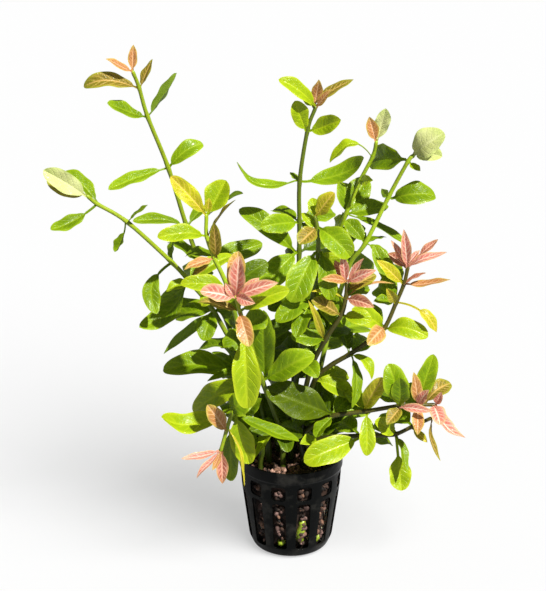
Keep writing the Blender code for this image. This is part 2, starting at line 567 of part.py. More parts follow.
class Blade:
    """The centre line, the turn and the width of one leaf."""

    def __init__(self, stem, leaf, change, collar_face):
        nodes = stem_nodes(stem)
        index = leaf.node + 1
        node = nodes[index]
        self.tip = on_sight_line(*leaf.tip, tip_depth(stem, leaf) + change.shift)
        along = stem_direction(nodes, index)
        if collar_face:
            self.start = collar_face.centre
        else:
            is_end = index == len(nodes) - 1
            reach = stem_radius(index / (len(nodes) - 1)) * NODE_SWELL + 2.5 * FIT_GAP
            self.start = node + leaf_way(stem, leaf) * (reach + (NODE_HALF_LENGTH if is_end else 0.0))
        self.collar_face = collar_face
        chord = self.tip - self.start
        self.length = chord.length
        self.direction = chord.normalized()
        to_viewer = (VIEWER - self.start).normalized()
        facing = (to_viewer - self.direction * to_viewer.dot(self.direction)).normalized()
        upward = self.direction.cross(facing)
        if upward.dot(Vector((0.0, 0.0, 1.0)) + 0.3 * along) < 0.0:
            upward = -upward
        turn = math.radians(leaf.turn + change.spin)
        self.normal = math.cos(turn) * facing + math.sin(turn) * upward
        self.side = self.direction.cross(self.normal)
        self.arch = leaf.arch + change.lift
        self.sway = leaf.sway
        self.fold = leaf.fold
        self.petiole = leaf.petiole
        self.half_width = 0.5 * leaf.width * change.scale
        self.tip_taper = BROAD_TIP_TAPER if leaf.width > BROAD_LEAF_WIDTH else NARROW_TIP_TAPER
        self.shares = [*BLADE_SHARES]
        if self.petiole > LONG_STALK:
            moved = [share + 0.5 * self.petiole * (1.0 - share) for share in BLADE_SHARES]
            self.shares = [self.petiole] + moved

    def centre(self, t):
        """Point of the midrib at a share t of the leaf's length."""
        bow = 4.0 * t * (1.0 - t) * self.length
        straight = self.start + self.direction * (self.length * t)
        return straight + self.normal * (bow * self.arch) + self.side * (bow * self.sway)

    def width_at(self, t):
        """Half of the leaf's width at a share t of its length."""
        if t >= 1.0:
            return 0.0
        stalk = min(PETIOLE_HALF_WIDTH, 0.5 * self.half_width)
        if t <= self.petiole:
            return stalk
        s = (t - self.petiole) / (1.0 - self.petiole)
        widest = BASE_TAPER / (BASE_TAPER + self.tip_taper)
        body = (s / widest) ** BASE_TAPER * ((1.0 - s) / (1.0 - widest)) ** self.tip_taper
        return max(self.half_width * body, stalk * (1.0 - s))

    def ring(self, share, margin=0.0):
        """Corners of the lens section: right edge, upper rib, left edge, lower rib."""
        step = 0.01
        tangent = (self.centre(min(1.0, share + step)) - self.centre(max(0.0, share - step))).normalized()
        normal = (self.normal - tangent * self.normal.dot(tangent)).normalized()
        centre = self.centre(share)
        half_width = self.width_at(share)
        rise = normal * (half_width * self.fold)
        reach = tangent.cross(normal) * (half_width + margin)
        thick = normal * (0.5 * BLADE_THICKNESS + margin)
        return [centre - reach + rise, centre + thick, centre + reach + rise, centre - thick]

    def base_ring(self, margin=0.0):
        """Corners that the leaf starts from: its own, or those of the stem's face it grows out of."""
        own = self.ring(0.0, margin)
        if not self.collar_face:
            return own
        turn = self.face_turn()
        corners = [self.collar_face.corners[(index - turn) % 4] for index in range(4)]
        return [corner + (corner - self.start).normalized() * margin for corner in corners]

    def face_turn(self):
        """How far the leaf's corners are counted on from those of its face."""
        own = self.ring(0.0)

        def match(turn):
            return sum(
                (own[(index + turn) % 4] - self.start).normalized().dot((corner - self.start).normalized())
                for index, corner in enumerate(self.collar_face.corners)
            )
        return max(range(4), key=match)

    def solid(self, margin=0.0, first=0.0):
        """Closed thin solid from a share of the leaf's length to its tip, as a bmesh in mm."""
        solid = bmesh.new()
        corner_rings = [self.base_ring(margin)] + [self.ring(share, margin) for share in self.shares]
        if first:
            mix = first / self.shares[0]
            corner_rings[0] = [a.lerp(b, mix) for a, b in zip(corner_rings[0], corner_rings[1])]
        rings = [[solid.verts.new(corner) for corner in corners] for corners in corner_rings]
        tip = solid.verts.new(self.centre(1.0) + self.direction * margin)
        solid.faces.new(reversed(rings[0]))
        for lower, upper in zip(rings, rings[1:]):
            for corner in range(4):
                after = (corner + 1) % 4
                solid.faces.new((lower[corner], lower[after], upper[after], upper[corner]))
        for corner in range(4):
            solid.faces.new((rings[-1][corner], rings[-1][(corner + 1) % 4], tip))
        bmesh.ops.triangulate(solid, faces=solid.faces, quad_method="SHORT_EDGE")
        return solid

    def tree(self, margin=0.0, first=0.0):
        """Search tree over the faces of the solid."""
        solid = self.solid(margin, first)
        tree = BVHTree.FromBMesh(solid)
        solid.free()
        return tree


def stem_direction(nodes, index):
    """Which way the stem runs at one of its nodes."""
    if index == len(nodes) - 1:
        return (nodes[index] - nodes[index - 1]).normalized()
    return (nodes[index + 1] - nodes[index - 1]).normalized()


def leaf_way(stem, leaf):
    """Which way the leaf leaves its node: square to the stem, or straight on at the stem's end."""
    nodes = stem_nodes(stem)
    index = leaf.node + 1
    tip = on_sight_line(*leaf.tip, tip_depth(stem, leaf))
    out = (tip - nodes[index]).normalized()
    if index == len(nodes) - 1:
        return out
    along = stem_direction(nodes, index)
    return (out - along * out.dot(along)).normalized()


def collar_faces(mesh):
    """The four sided faces of a stem's tube, in mm."""
    return {
        polygon.index: CollarFace(
            Vector(polygon.center) / MM,
            Vector(polygon.normal),
            [mesh.vertices[vertex].co / MM for vertex in polygon.vertices],
        )
        for polygon in mesh.polygons if len(polygon.vertices) == 4
    }


def nearest_face(faces, stem, leaf):
    """The free face at the leaf's node that looks most nearly the leaf's way."""
    node = stem_nodes(stem)[leaf.node + 1]
    out = leaf_way(stem, leaf)

    def fit(index):
        face = faces[index]
        return face.normal.dot(out) - 0.35 * max(0.0, (face.centre - node).length - 2.2)
    return max(faces, key=fit)


def grow_leaf(shoot, face, blade):
    """Draw a leaf out of a face of the stem."""
    turn = blade.face_turn()
    for share in blade.shares:
        face = bmesh.ops.extrude_discrete_faces(shoot, faces=[face])["faces"][0]
        corners = blade.ring(share)
        for index, vert in enumerate(face.verts):
            vert.co = corners[(index + turn) % 4] * MM
    poked = bmesh.ops.poke(shoot, faces=[face])
    poked["verts"][0].co = blade.centre(1.0) * MM


def in_pot(solid):
    """Whether any point of a leaf would be inside the pot or the medium."""
    for vert in solid.verts:
        x, y, z = vert.co
        if z < POT_HEIGHT + 1.0 and math.hypot(x, y) < POT_RIM_RADIUS + 0.8:
            return True
        if z < 1.5:
            return True
    return False


def mesh_of(solid, name):
    """Mesh data of a bmesh, which is freed."""
    mesh = bpy.data.meshes.new(name)
    solid.to_mesh(mesh)
    solid.free()
    return mesh


def evaluated_mesh(thing, name):
    """A welded mesh of an object as its modifiers or bevel make it."""
    bpy.context.view_layer.update()
    seen = thing.evaluated_get(bpy.context.evaluated_depsgraph_get())
    mesh = bpy.data.meshes.new_from_object(seen)
    mesh.name = name
    welded = bmesh.new()
    welded.from_mesh(mesh)
    bmesh.ops.remove_doubles(welded, verts=welded.verts, dist=1e-6)
    bmesh.ops.recalc_face_normals(welded, faces=welded.faces)
    welded.to_mesh(mesh)
    welded.free()
    return mesh


def stem_points(stem):
    """The stem's smooth path as (point, radius), with a short swollen collar at each node."""
    nodes = stem_nodes(stem)
    path = smooth_path(nodes, SPAN_POINTS)
    points = []
    for index, point in enumerate(path):
        radius = stem_radius(index / (len(path) - 1))
        is_node = index > 1 and any((point - node).length < 1e-4 for node in nodes[2:])
        if not is_node:
            points.append((point, radius))
            continue
        ahead = path[min(index + 1, len(path) - 1)]
        along = (ahead - path[index - 1]).normalized()
        points.append((point - along * NODE_HALF_LENGTH, radius * NODE_SWELL))
        points.append((point + along * NODE_HALF_LENGTH, radius * NODE_SWELL))
    last, radius = points[-1]
    points.append((last + along * NODE_HALF_LENGTH, 0.45 * radius))
    return points


def tube_mesh(points, name):
    """Closed tube through points with a radius each, made as a bevelled curve."""
    curve = bpy.data.curves.new(name, "CURVE")
    curve.dimensions = "3D"
    curve.bevel_depth = MM
    curve.bevel_resolution = 1
    curve.use_fill_caps = True
    spline = curve.splines.new("POLY")
    spline.points.add(len(points) - 1)
    for index, (point, radius) in enumerate(points):
        spline.points[index].co = (*(point * MM), 1.0)
        spline.points[index].radius = radius
    tube = bpy.data.objects.new(name, curve)
    bpy.context.scene.collection.objects.link(tube)
    mesh = evaluated_mesh(tube, name)
    bpy.data.objects.remove(tube)
    bpy.data.curves.remove(curve)
    return mesh


def hole_mesh(stem):
    """The stem's buried length with room around it, to cut its planting hole."""
    nodes = stem_nodes(stem)
    bottom = nodes[0] - Vector((0.0, 0.0, FIT_GAP))
    path = [bottom] + smooth_path(nodes, SPAN_POINTS)[1:]
    above = [point for point in path if point.z < ROOT_TOP_HEIGHT + 14.0]
    above.append(path[len(above)])
    return tube_mesh([(point, STEM_BASE_RADIUS + FIT_GAP) for point in above], f"{stem.name}_hole")


def make_pot(collection):
    """The slotted pot: a turned open skin with its slot cells taken out, thickened inward."""
    skin = bmesh.new()
    outline = [skin.verts.new((radius * MM, 0.0, height * MM)) for radius, height in POT_OUTLINE]
    edges = [skin.edges.new(pair) for pair in zip(outline, outline[1:])]
    steps = POT_COLUMNS * SIDES_PER_COLUMN
    bmesh.ops.spin(
        skin, geom=outline + edges, cent=(0.0, 0.0, 0.0), axis=(0.0, 0.0, 1.0),
        angle=math.tau, steps=steps, use_duplicate=False,
    )
    bmesh.ops.remove_doubles(skin, verts=skin.verts, dist=1e-6)
    inner = [edge for edge in skin.edges if edge.is_boundary
             and max(vert.co.z for vert in edge.verts) < 1.0 * MM]
    bmesh.ops.contextual_create(skin, geom=inner)
    column = math.tau / POT_COLUMNS
    slots = []
    for face in skin.faces:
        middle = face.calc_center_median()
        share = (math.atan2(middle.y, middle.x) % column) / column
        if not 1.0 / SIDES_PER_COLUMN < share < 2.0 / SIDES_PER_COLUMN:
            continue
        heights = [vert.co.z / MM for vert in face.verts]
        for row in (UPPER_SLOT_ROW, LOWER_SLOT_ROW):
            top, bottom = POT_OUTLINE[row][1], POT_OUTLINE[row + 1][1]
            if bottom < sum(heights) / len(heights) < top:
                slots.append(face)
        radius = middle.xy.length / MM
        in_base = POT_OUTLINE[BASE_SLOT_ROW + 1][0] < radius < POT_OUTLINE[BASE_SLOT_ROW][0]
        if in_base and max(heights) < 0.5 and int((math.atan2(middle.y, middle.x) % math.tau) / column) % 2:
            slots.append(face)
    bmesh.ops.delete(skin, geom=slots, context="FACES")
    # The columns beside a slot move until it has its own width
    even = math.tau / steps
    for vert in skin.verts:
        angle = math.atan2(vert.co.y, vert.co.x) % math.tau
        place = round(angle / even)
        side = {1: -1, 2: 1}.get(place % SIDES_PER_COLUMN, 0)
        radius = vert.co.xy.length
        if side and radius > 1e-6:
            middle = (place // SIDES_PER_COLUMN + 0.5) * column
            angle = middle + side * SLOT_ANGLE / 2
            vert.co.x = radius * math.cos(angle)
            vert.co.y = radius * math.sin(angle)
    bmesh.ops.recalc_face_normals(skin, faces=skin.faces)
    pot = add_object("net_pot", mesh_of(skin, "net_pot"), collection,
                     material("black_pot_plastic", POT_COLOUR, 0.28))
    shell = pot.modifiers.new("wall", "SOLIDIFY")
    shell.thickness = POT_WALL * MM
    shell.offset = -1.0
    shell.use_even_offset = True
    pot.data.shade_smooth()
    pot.data.set_sharp_from_angle(angle=math.radians(35))
    return pot


def medium_outline():
    """Outline of the growing medium inside the pot's wall, from the bottom's middle to the top's."""
    inset = POT_WALL + FIT_GAP
    outline = [(0.0, inset), (15.0 - 0.4, inset)]
    for radius, height in ((17.4, 1.1), (19.3, 6.0), (23.8, 36.0)):
        outline.append((radius - inset - 0.15, max(height, inset + 0.9)))
    outline += [(25.4 - inset - 0.9, MEDIUM_EDGE_HEIGHT - 1.2), (22.0, MEDIUM_EDGE_HEIGHT)]
    for share in (0.7, 0.4):
        outline.append((22.0 * share, MEDIUM_EDGE_HEIGHT + MEDIUM_DOME * (1.0 - share ** 2)))
    outline.append((0.0, MEDIUM_EDGE_HEIGHT + MEDIUM_DOME))
    return outline


def make_medium(collection, guides, stems):
    """The granule plug: a turned body with a lumpy top and a planting hole for each stem."""
    profile = bmesh.new()
    verts = [profile.verts.new((radius * MM, 0.0, height * MM))
             for radius, height in reversed(medium_outline())]
    for pair in zip(verts, verts[1:]):
        profile.edges.new(pair)
    turned = bpy.data.objects.new("turned", mesh_of(profile, "turned"))
    bpy.context.scene.collection.objects.link(turned)
    screw = turned.modifiers.new("turn", "SCREW")
    screw.steps = MEDIUM_SIDES
    screw.render_steps = MEDIUM_SIDES
    screw.use_merge_vertices = True
    screw.merge_threshold = 1e-5
    screw.use_normal_calculate = True
    mesh = evaluated_mesh(turned, "growing_medium")
    bpy.data.objects.remove(turned)
    for vert in mesh.vertices:
        if vert.co.z > (MEDIUM_EDGE_HEIGHT - 0.5) * MM:
            vert.co.z += MEDIUM_LUMP * MM * noise.noise(vert.co / (5.0 * MM))
    medium = add_object("growing_medium", mesh, collection,
                        material("granules", MEDIUM_COLOUR, 0.85))
    for stem in stems:
        hole = add_object(f"{stem.name}_hole", hole_mesh(stem), guides,
                          material("hole", MEDIUM_COLOUR, 0.9))
        make_guide(hole)
        cut = medium.modifiers.new(f"hole_{stem.name}", "BOOLEAN")
        cut.operation = "DIFFERENCE"
        cut.solver = "EXACT"
        cut.object = hole
    medium.data.shade_smooth()
    medium.data.set_sharp_from_angle(angle=math.radians(50))
    return medium


def tree_of(mesh):
    """Search tree over a mesh's faces."""
    vertices = [vert.co / MM for vert in mesh.vertices]
    return BVHTree.FromPolygons(vertices, [polygon.vertices[:] for polygon in mesh.polygons])


def large_leaves():
    """The leaves that are pieces of their own: the largest ones, as (stem name, leaf number)."""
    sized = []
    for stem in SHOOTS:
        nodes = stem_nodes(stem)
        for number, leaf in enumerate(stem.leaves):
            tip = on_sight_line(*leaf.tip, tip_depth(stem, leaf))
            sized.append((leaf.width * (tip - nodes[leaf.node + 1]).length, stem.name, number))
    sized.sort(reverse=True)
    return {entry[1:] for entry in sized[:SEPARATE_LEAVES]}


def tip_depth(stem, leaf):
    """How far from the viewer the leaf's tip is."""
    return stem.path[leaf.node - 1][2] + leaf.depth


def nearest_first():
    """Every leaf as (stem, its number, leaf), those nearest the viewer first."""
    leaves = [(stem, number, leaf) for stem in SHOOTS for number, leaf in enumerate(stem.leaves)]
    return sorted(leaves, key=lambda entry: tip_depth(entry[0], entry[2]))


def clear_blades(meshes):
    """Each leaf as it lies: as picked, or moved until it clears the rest, or left off if it never does."""
    large = large_leaves()
    stem_trees = {name: tree_of(mesh) for name, mesh in meshes.items()}
    shifts = [0.0]
    for step in range(1, 13):
        shifts += [1.5 * step, -1.5 * step]
    attempts = [
        Change(shift, lift, spin, scale)
        for scale in (1.0, 0.75)
        for spin in (0.0, 30.0, -30.0)
        for shift in shifts
        for lift in (0.0, 0.08, -0.08)
    ]
    placed = []
    blades = {}
    faces = {name: collar_faces(mesh) for name, mesh in meshes.items()}
    for stem, number, leaf in nearest_first():
        free_faces = faces[stem.name]
        face_index = None
        if (stem.name, number) not in large:
            face_index = nearest_face(free_faces, stem, leaf)
        for change in attempts:
            blade = Blade(stem, leaf, change, free_faces.get(face_index))
            if is_clear(blade, stem.name, stem_trees, placed):
                outer = blade.tree(0.0, FUSED_ROOT_SHARE)
                placed.append((stem.name, bool(blade.collar_face), blade.tree(), outer))
                blades[stem.name, number] = (blade, face_index)
                free_faces.pop(face_index, None)
                break
    return blades


def is_clear(blade, stem_name, stem_trees, placed):
    """Whether a leaf keeps its gap to the pot, the stems and the leaves that already have a place."""
    whole = blade.solid(TEST_MARGIN)
    hits = in_pot(whole)
    tree = BVHTree.FromBMesh(whole)
    whole.free()
    if hits:
        return False
    fused = bool(blade.collar_face)
    outer = blade.tree(TEST_MARGIN, FUSED_ROOT_SHARE)
    for name, other in stem_trees.items():
        if (outer if fused and name == stem_name else tree).overlap(other):
            return False
    for owner, other_fused, other, other_outer in placed:
        if fused and other_fused and owner == stem_name:
            if outer.overlap(other_outer):
                return False
        elif tree.overlap(other):
            return False
    return True


def make_shoots(collection, meshes, blades):
    """The stems with their small leaves grown on, and the large leaves as pieces of their own."""
    stem_look = material("stem", STEM_COLOUR, 0.45)
    looks = {kind: material(f"{kind}_leaf", colour, 0.4) for kind, colour in LEAF_COLOURS.items()}
    for stem in SHOOTS:
        shoot = bmesh.new()
        shoot.from_mesh(meshes[stem.name])
        stem_faces = list(shoot.faces)
        for number, leaf in enumerate(stem.leaves):
            blade, face_index = blades.get((stem.name, number), (None, None))
            if not blade:
                continue
            if blade.collar_face:
                grow_leaf(shoot, stem_faces[face_index], blade)
            else:
                solid = blade.solid()
                solid.transform(Matrix.Scale(MM, 4))
                name = f"{stem.name[:-5]}_leaf_{number + 1}"
                add_object(name, mesh_of(solid, name), collection, looks[leaf.kind])
        bmesh.ops.triangulate(shoot, faces=shoot.faces, quad_method="SHORT_EDGE")
        shoot.normal_update()
        shoot.to_mesh(meshes[stem.name])
        shoot.free()
        grown = add_object(stem.name, meshes[stem.name], collection, stem_look)
        grown.data.shade_smooth()
        grown.data.set_sharp_from_angle(angle=math.radians(32))


def main():
    for thing in list(bpy.data.objects):
        bpy.data.objects.remove(thing)
    plant = bpy.data.collections.new("dwarf_hygrophila")
    guides = bpy.data.collections.new("guides")
    bpy.context.scene.collection.children.link(plant)
    bpy.context.scene.collection.children.link(guides)
    make_pot(plant)
    make_medium(plant, guides, SHOOTS)
    meshes = {stem.name: tube_mesh(stem_points(stem), stem.name) for stem in SHOOTS}
    make_shoots(plant, meshes, clear_blades(meshes))


main()
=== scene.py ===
"""The potted dwarf hygrophila dressed for rendering: fine leaves, stems, pot and granules.

The tables and the way a leaf finds its place are those of the solids, so each fine leaf lies in
its solid. Lengths in the tables are millimetres, and everything built in the scene is in metres.
"""
import math
import random
from collections import namedtuple

import bmesh
import bpy
from mathutils import Matrix, Vector, noise
from mathutils.bvhtree import BVHTree


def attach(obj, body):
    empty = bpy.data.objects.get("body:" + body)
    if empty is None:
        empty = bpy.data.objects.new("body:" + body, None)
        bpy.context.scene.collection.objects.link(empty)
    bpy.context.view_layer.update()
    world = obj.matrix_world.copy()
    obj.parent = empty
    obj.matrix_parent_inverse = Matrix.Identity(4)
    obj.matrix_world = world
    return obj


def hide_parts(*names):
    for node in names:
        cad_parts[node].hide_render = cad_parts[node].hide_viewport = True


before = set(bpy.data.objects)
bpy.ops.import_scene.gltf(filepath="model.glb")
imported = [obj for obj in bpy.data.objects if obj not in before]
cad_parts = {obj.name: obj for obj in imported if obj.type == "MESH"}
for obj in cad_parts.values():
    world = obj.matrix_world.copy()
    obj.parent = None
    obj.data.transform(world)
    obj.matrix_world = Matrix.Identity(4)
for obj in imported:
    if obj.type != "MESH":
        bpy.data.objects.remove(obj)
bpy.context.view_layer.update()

MM = 0.001
UP = Vector((0.0, 0.0, 1.0))

# Pot: a 50 mm slotted nursery pot
POT_HEIGHT = 50.0
POT_RIM_RADIUS = 26.0
POT_WALL = 1.0
POT_COLUMNS = 12
SLOT_ANGLE = math.radians(17.0)
FIT_GAP = 0.3
# Outer outline of the pot from the rim down to the middle of the base: radius, height
POT_OUTLINE = (
    (POT_RIM_RADIUS, POT_HEIGHT),
    (25.9, 44.6),
    (25.4, 43.8),
    (25.2, 42.0),
    (24.7, 34.5),
    (24.5, 32.5),
    (21.0, 6.0),
    (18.9, 1.4),
    (16.2, 0.0),
    (14.4, 0.0),
    (6.4, 0.0),
)
# Rows of the outline that are open in a slot column, counted from the rim
UPPER_SLOT_ROW = 3
LOWER_SLOT_ROW = 5
BASE_SLOT_ROW = 9

# Growing medium: clay granules and root fibre pressed into the pot
MEDIUM_EDGE_HEIGHT = 46.0
MEDIUM_DOME = 2.5
MEDIUM_FOOT_RADIUS = 14.6
MEDIUM_TOP_RADIUS = 22.0
# The pot's side as the medium follows it: radius, height
MEDIUM_SIDE = ((17.4, 1.1), (19.3, 6.0), (23.8, 36.0))
MEDIUM_SHOULDER = 25.4
MEDIUM_SIDE_GAP = 0.15
MEDIUM_SIDE_FOOT = 0.9
MEDIUM_BEVEL = (0.9, 1.2)
MEDIUM_DOME_SHARES = (0.7, 0.4)

# Shoots
STEM_BASE_RADIUS = 1.6
STEM_TIP_RADIUS = 0.9
NODE_SWELL = 1.2
NODE_HALF_LENGTH = 0.7
ROOT_DEPTH_HEIGHT = 32.0
ROOT_TOP_HEIGHT = 48.5
STEM_END_SHARE = 0.45
SPAN_POINTS = 2
BEND_ANGLE = math.radians(38)
ON_AXIS = 1e-6
SAME_SPOT = 1e-4
WELD_DISTANCE = 1e-6

# Leaves
LEAF_STANDOFF = 2.5 * FIT_GAP
STEM_SHARE_OF_UP = 0.3
BLADE_THICKNESS = 0.7
BLADE_SHARES = (0.38, 0.78)
BASE_TAPER = 0.8
BROAD_TIP_TAPER = 0.55
NARROW_TIP_TAPER = 0.8
BROAD_LEAF_WIDTH = 7.0
LONG_STALK = 0.2
PETIOLE_HALF_WIDTH = 0.7
MIDRIB_STEP = 0.01
# How far above and outside the pot's rim a leaf has to stay, and how far above the floor
OVER_RIM = 1.0
OUTSIDE_RIM = 0.8
OVER_FLOOR = 1.5
# A collar's face this far from its node or farther counts less, by so much a millimetre
NEAR_FACE = 2.2
FAR_FACE_COST = 0.35
SEPARATE_LEAVES = 47
TEST_MARGIN = 0.3
FUSED_ROOT_SHARE = 0.18
# What is tried in turn to clear a leaf: widths, turns in degrees, steps in depth, arches
TRIED_SCALES = (1.0, 0.75)
TRIED_SPINS = (0.0, 30.0, -30.0)
SHIFT_STEP = 1.5
SHIFT_STEPS = 12
TRIED_LIFTS = (0.0, 0.08, -0.08)
# Leaves on the far side, which the photo hides: the highest node that has one, how far out from the
# middle they start to lean inwards, where the tip lies from the node, and the leaf's own measures
FAR_LEAF_TOP = 145.0
FAR_LEAF_INWARD = 30.0
FAR_LEAF_DEPTH = 16.0
FAR_LEAF_LEAN = 9.0
FAR_LEAF_RISE = 8.0
FAR_LEAF_WIDTH = 11.0
FAR_LEAF_TURN = 15
FAR_LEAF_ARCH = 0.12

# Where the plant is looked at from: the picked points lie in the plane y = 0 as seen from here
VIEW_DISTANCE = 750.0
VIEW_TILT = math.radians(20.0)
VIEW_AIM = Vector((-9.0, 0.0, 133.0))
VIEWER = VIEW_AIM + VIEW_DISTANCE * Vector((0.0, -math.cos(VIEW_TILT), math.sin(VIEW_TILT)))

# Fine leaves
SEEDS_PER_SHOOT = 1000
LEAF_ROWS = 26
LEAF_HALF_COLUMNS = 6
QUILT_HEIGHT = 0.24
EDGE_WAVE = 0.10
EDGE_ROLL = 0.10
EXTRA_FOLD = 0.16
TIP_LEAF_FOLD = 0.34
BASE_POINT = 0.68
BROAD_POINT = 0.58
NARROW_POINT = 0.88
TIP_CROWDING = 1.12
STALK_SHARE = 0.15
STALK_FOLD = 0.75
LEAST_WIDTH = 0.5
# How far leaves differ: waves along the edge, twist in degrees, and shares of length that they bend
EDGE_WAVES = (1.4, 2.6)
LEAF_TWIST = 24.0
RECURVE = (-0.015, 0.03)
HOOK = (-0.015, 0.04)
CURL = (-0.06, 0.18)
# Side veins: pairs in a leaf, how far they slant and bow forward, and how far left and right are offset
VEIN_PAIRS = 6.5
VEIN_SLANT = 0.26
VEIN_BOW = 1.3
VEIN_OFFSET = 0.2
# Green leaves wear a darker skin, as painted shade, where this share of their length is this near the pot's
# axis and this low
INNER_SHARE = 0.6
INNER_RADIUS = 27.0
INNER_TOP = 165.0

# Fine stems
STEM_SIDES = 14
STEM_STEPS = 7
SWELL_LENGTH = 1.3
FINE_STEM_SHARE = 0.96
# The rounded end of a stem: how far on, and the share of its radius
STEM_END = ((0.0, 1.05), (1.0, 0.85), (1.8, 0.4))

# Fine pot
POT_SIDES = 144
SLOT_CORNER = 1.7
SLOT_CORNER_STEPS = 4
BASE_SLOT_SPREAD = 0.6
WALL_CUT_DEPTH = 4.0
BASE_CUT_DEPTH = 2.5
POT_LIP_EASE = 0.15
# Inside of the pot: where its floor's curve ends, and the foot it curves up from
POT_FLOOR_TOP = 1.2
POT_FOOT_RADIUS = 14.6
POT_FOOT_EASE = (2.0, 0.7)
POT_SMOOTH_ANGLE = math.radians(38)
POT_EDGE = 0.22
POT_EDGE_ANGLE = math.radians(50)
CORNER_EASE = 1.1
CORNER_SHARE = 0.4
CORNER_STEPS = 3

# Fine growing medium: skins in the order of its material slots
BROWN, PINK, ROOT, YOUNG, DARK_SHADED, STONE = range(6)
MEDIUM_SEED = 7
MEDIUM_FINE_SIDES = 72
PLUG_INSET = 0.5
PLUG_DROP = 0.6
PLUG_TOP_FROM = 40.0
PLUG_WAVE_DEPTH = 1.5
PLUG_WAVE = 0.8
PLUG_WAVE_SIZE = 4.0
TOP_GRAINS = 620
TOP_GRAIN_REACH = 23.2
TOP_GRAIN_EDGE = 24.0
TOP_GRAIN_LEVELS = (-0.3, 0.4)
TOP_GRAIN_SINK = 0.5
STEM_CLEARANCE = 0.2
TOP_GRAIN_SIZES = (0.7, 0.9, 1.1, 1.4)
SLOT_GRAIN_SIZES = (0.8, 1.1, 1.7)
SLOT_GRAINS_PER_MM = 0.8
SLOT_GRAIN_SHARES = (0.06, 0.94)
SLOT_GRAIN_TURN = 0.085
SLOT_GRAIN_SINK = 0.9
GRAIN_STRETCH = ((0.75, 1.3), (0.75, 1.2), (0.6, 1.0))
GRAIN_LUMP = 0.28
GRAIN_LUMP_SIZE = 1.1
ROOTS = 28
ROOT_STEPS = 9
ROOT_STARTS = (10.0, 34.0)
ROOT_END = 4.0
ROOT_STEP = 2.0
ROOT_STEP_SHARES = (0.4, 1.0)
ROOT_WANDER = 0.07
ROOT_SINK = 0.3
LEAST_ROOT_POINTS = 4
ROOT_RADII = (0.22, 0.34)
ROOT_SIDES = 7
SHOOT_SIDES = 12
SHOOT_SINK = 0.4
SHOOT_BEND = 0.03
SHOOT_END_SHARE = 0.7
SHOOT_BELLY = 0.3
SHOOT_STEPS = 7
# Young shoots that show in the slots: angle round the pot in degrees, top and bottom height, radius
YOUNG_SHOOTS = (
    (-75.0, 21.5, 8.5, 2.2),
    (-105.0, 9.8, 6.9, 1.9),
    (-45.0, 10.4, 7.2, 2.0),
    (105.0, 20.0, 10.0, 1.8),
)

# Light and camera
KEY_COLOUR = (1.0, 0.97, 0.90)
WHITE = (1.0, 1.0, 1.0)
KEY_STRENGTH = 6.8
KEY_SIZE = math.radians(1.6)
SUN_ELEVATION = math.radians(47.0)
SUN_AZIMUTH = math.radians(38.0)
FLOOR_LIGHT_STRENGTH = 4.35
FLOOR_LIGHT_SIZE = math.radians(46.0)
FLOOR_TONE = 0.42
FLOOR_GLOW = 0.492
FLOOR_REACH = 40.0
SKY_LIGHT = 0.18
LENS = 94.8
SENSOR = 36.0
CLIP_START = 0.01

# A stem: where it is rooted, the nodes it passes as (x, z, depth), and its leaves
Stem = namedtuple("Stem", "name root path leaves")
# A leaf: the node it grows from, counted from 1, its tip (x, z), how much deeper than the node its tip
# is, the width of its blade, how far it turns from the viewer in degrees, how high it arches against
# its length, its colour, the share of its length that is stalk, its sideways bow, and its fold
Leaf = namedtuple(
    "Leaf", "node tip depth width turn arch kind petiole sway fold", defaults=(0.07, 0.0, 0.16)
)

# How a leaf is changed to clear the others: how much deeper, how much more arched, turned and scaled
Change = namedtuple("Change", "shift lift spin scale")

# A face of a stem's collar that a leaf can grow out of
CollarFace = namedtuple("CollarFace", "centre normal corners")

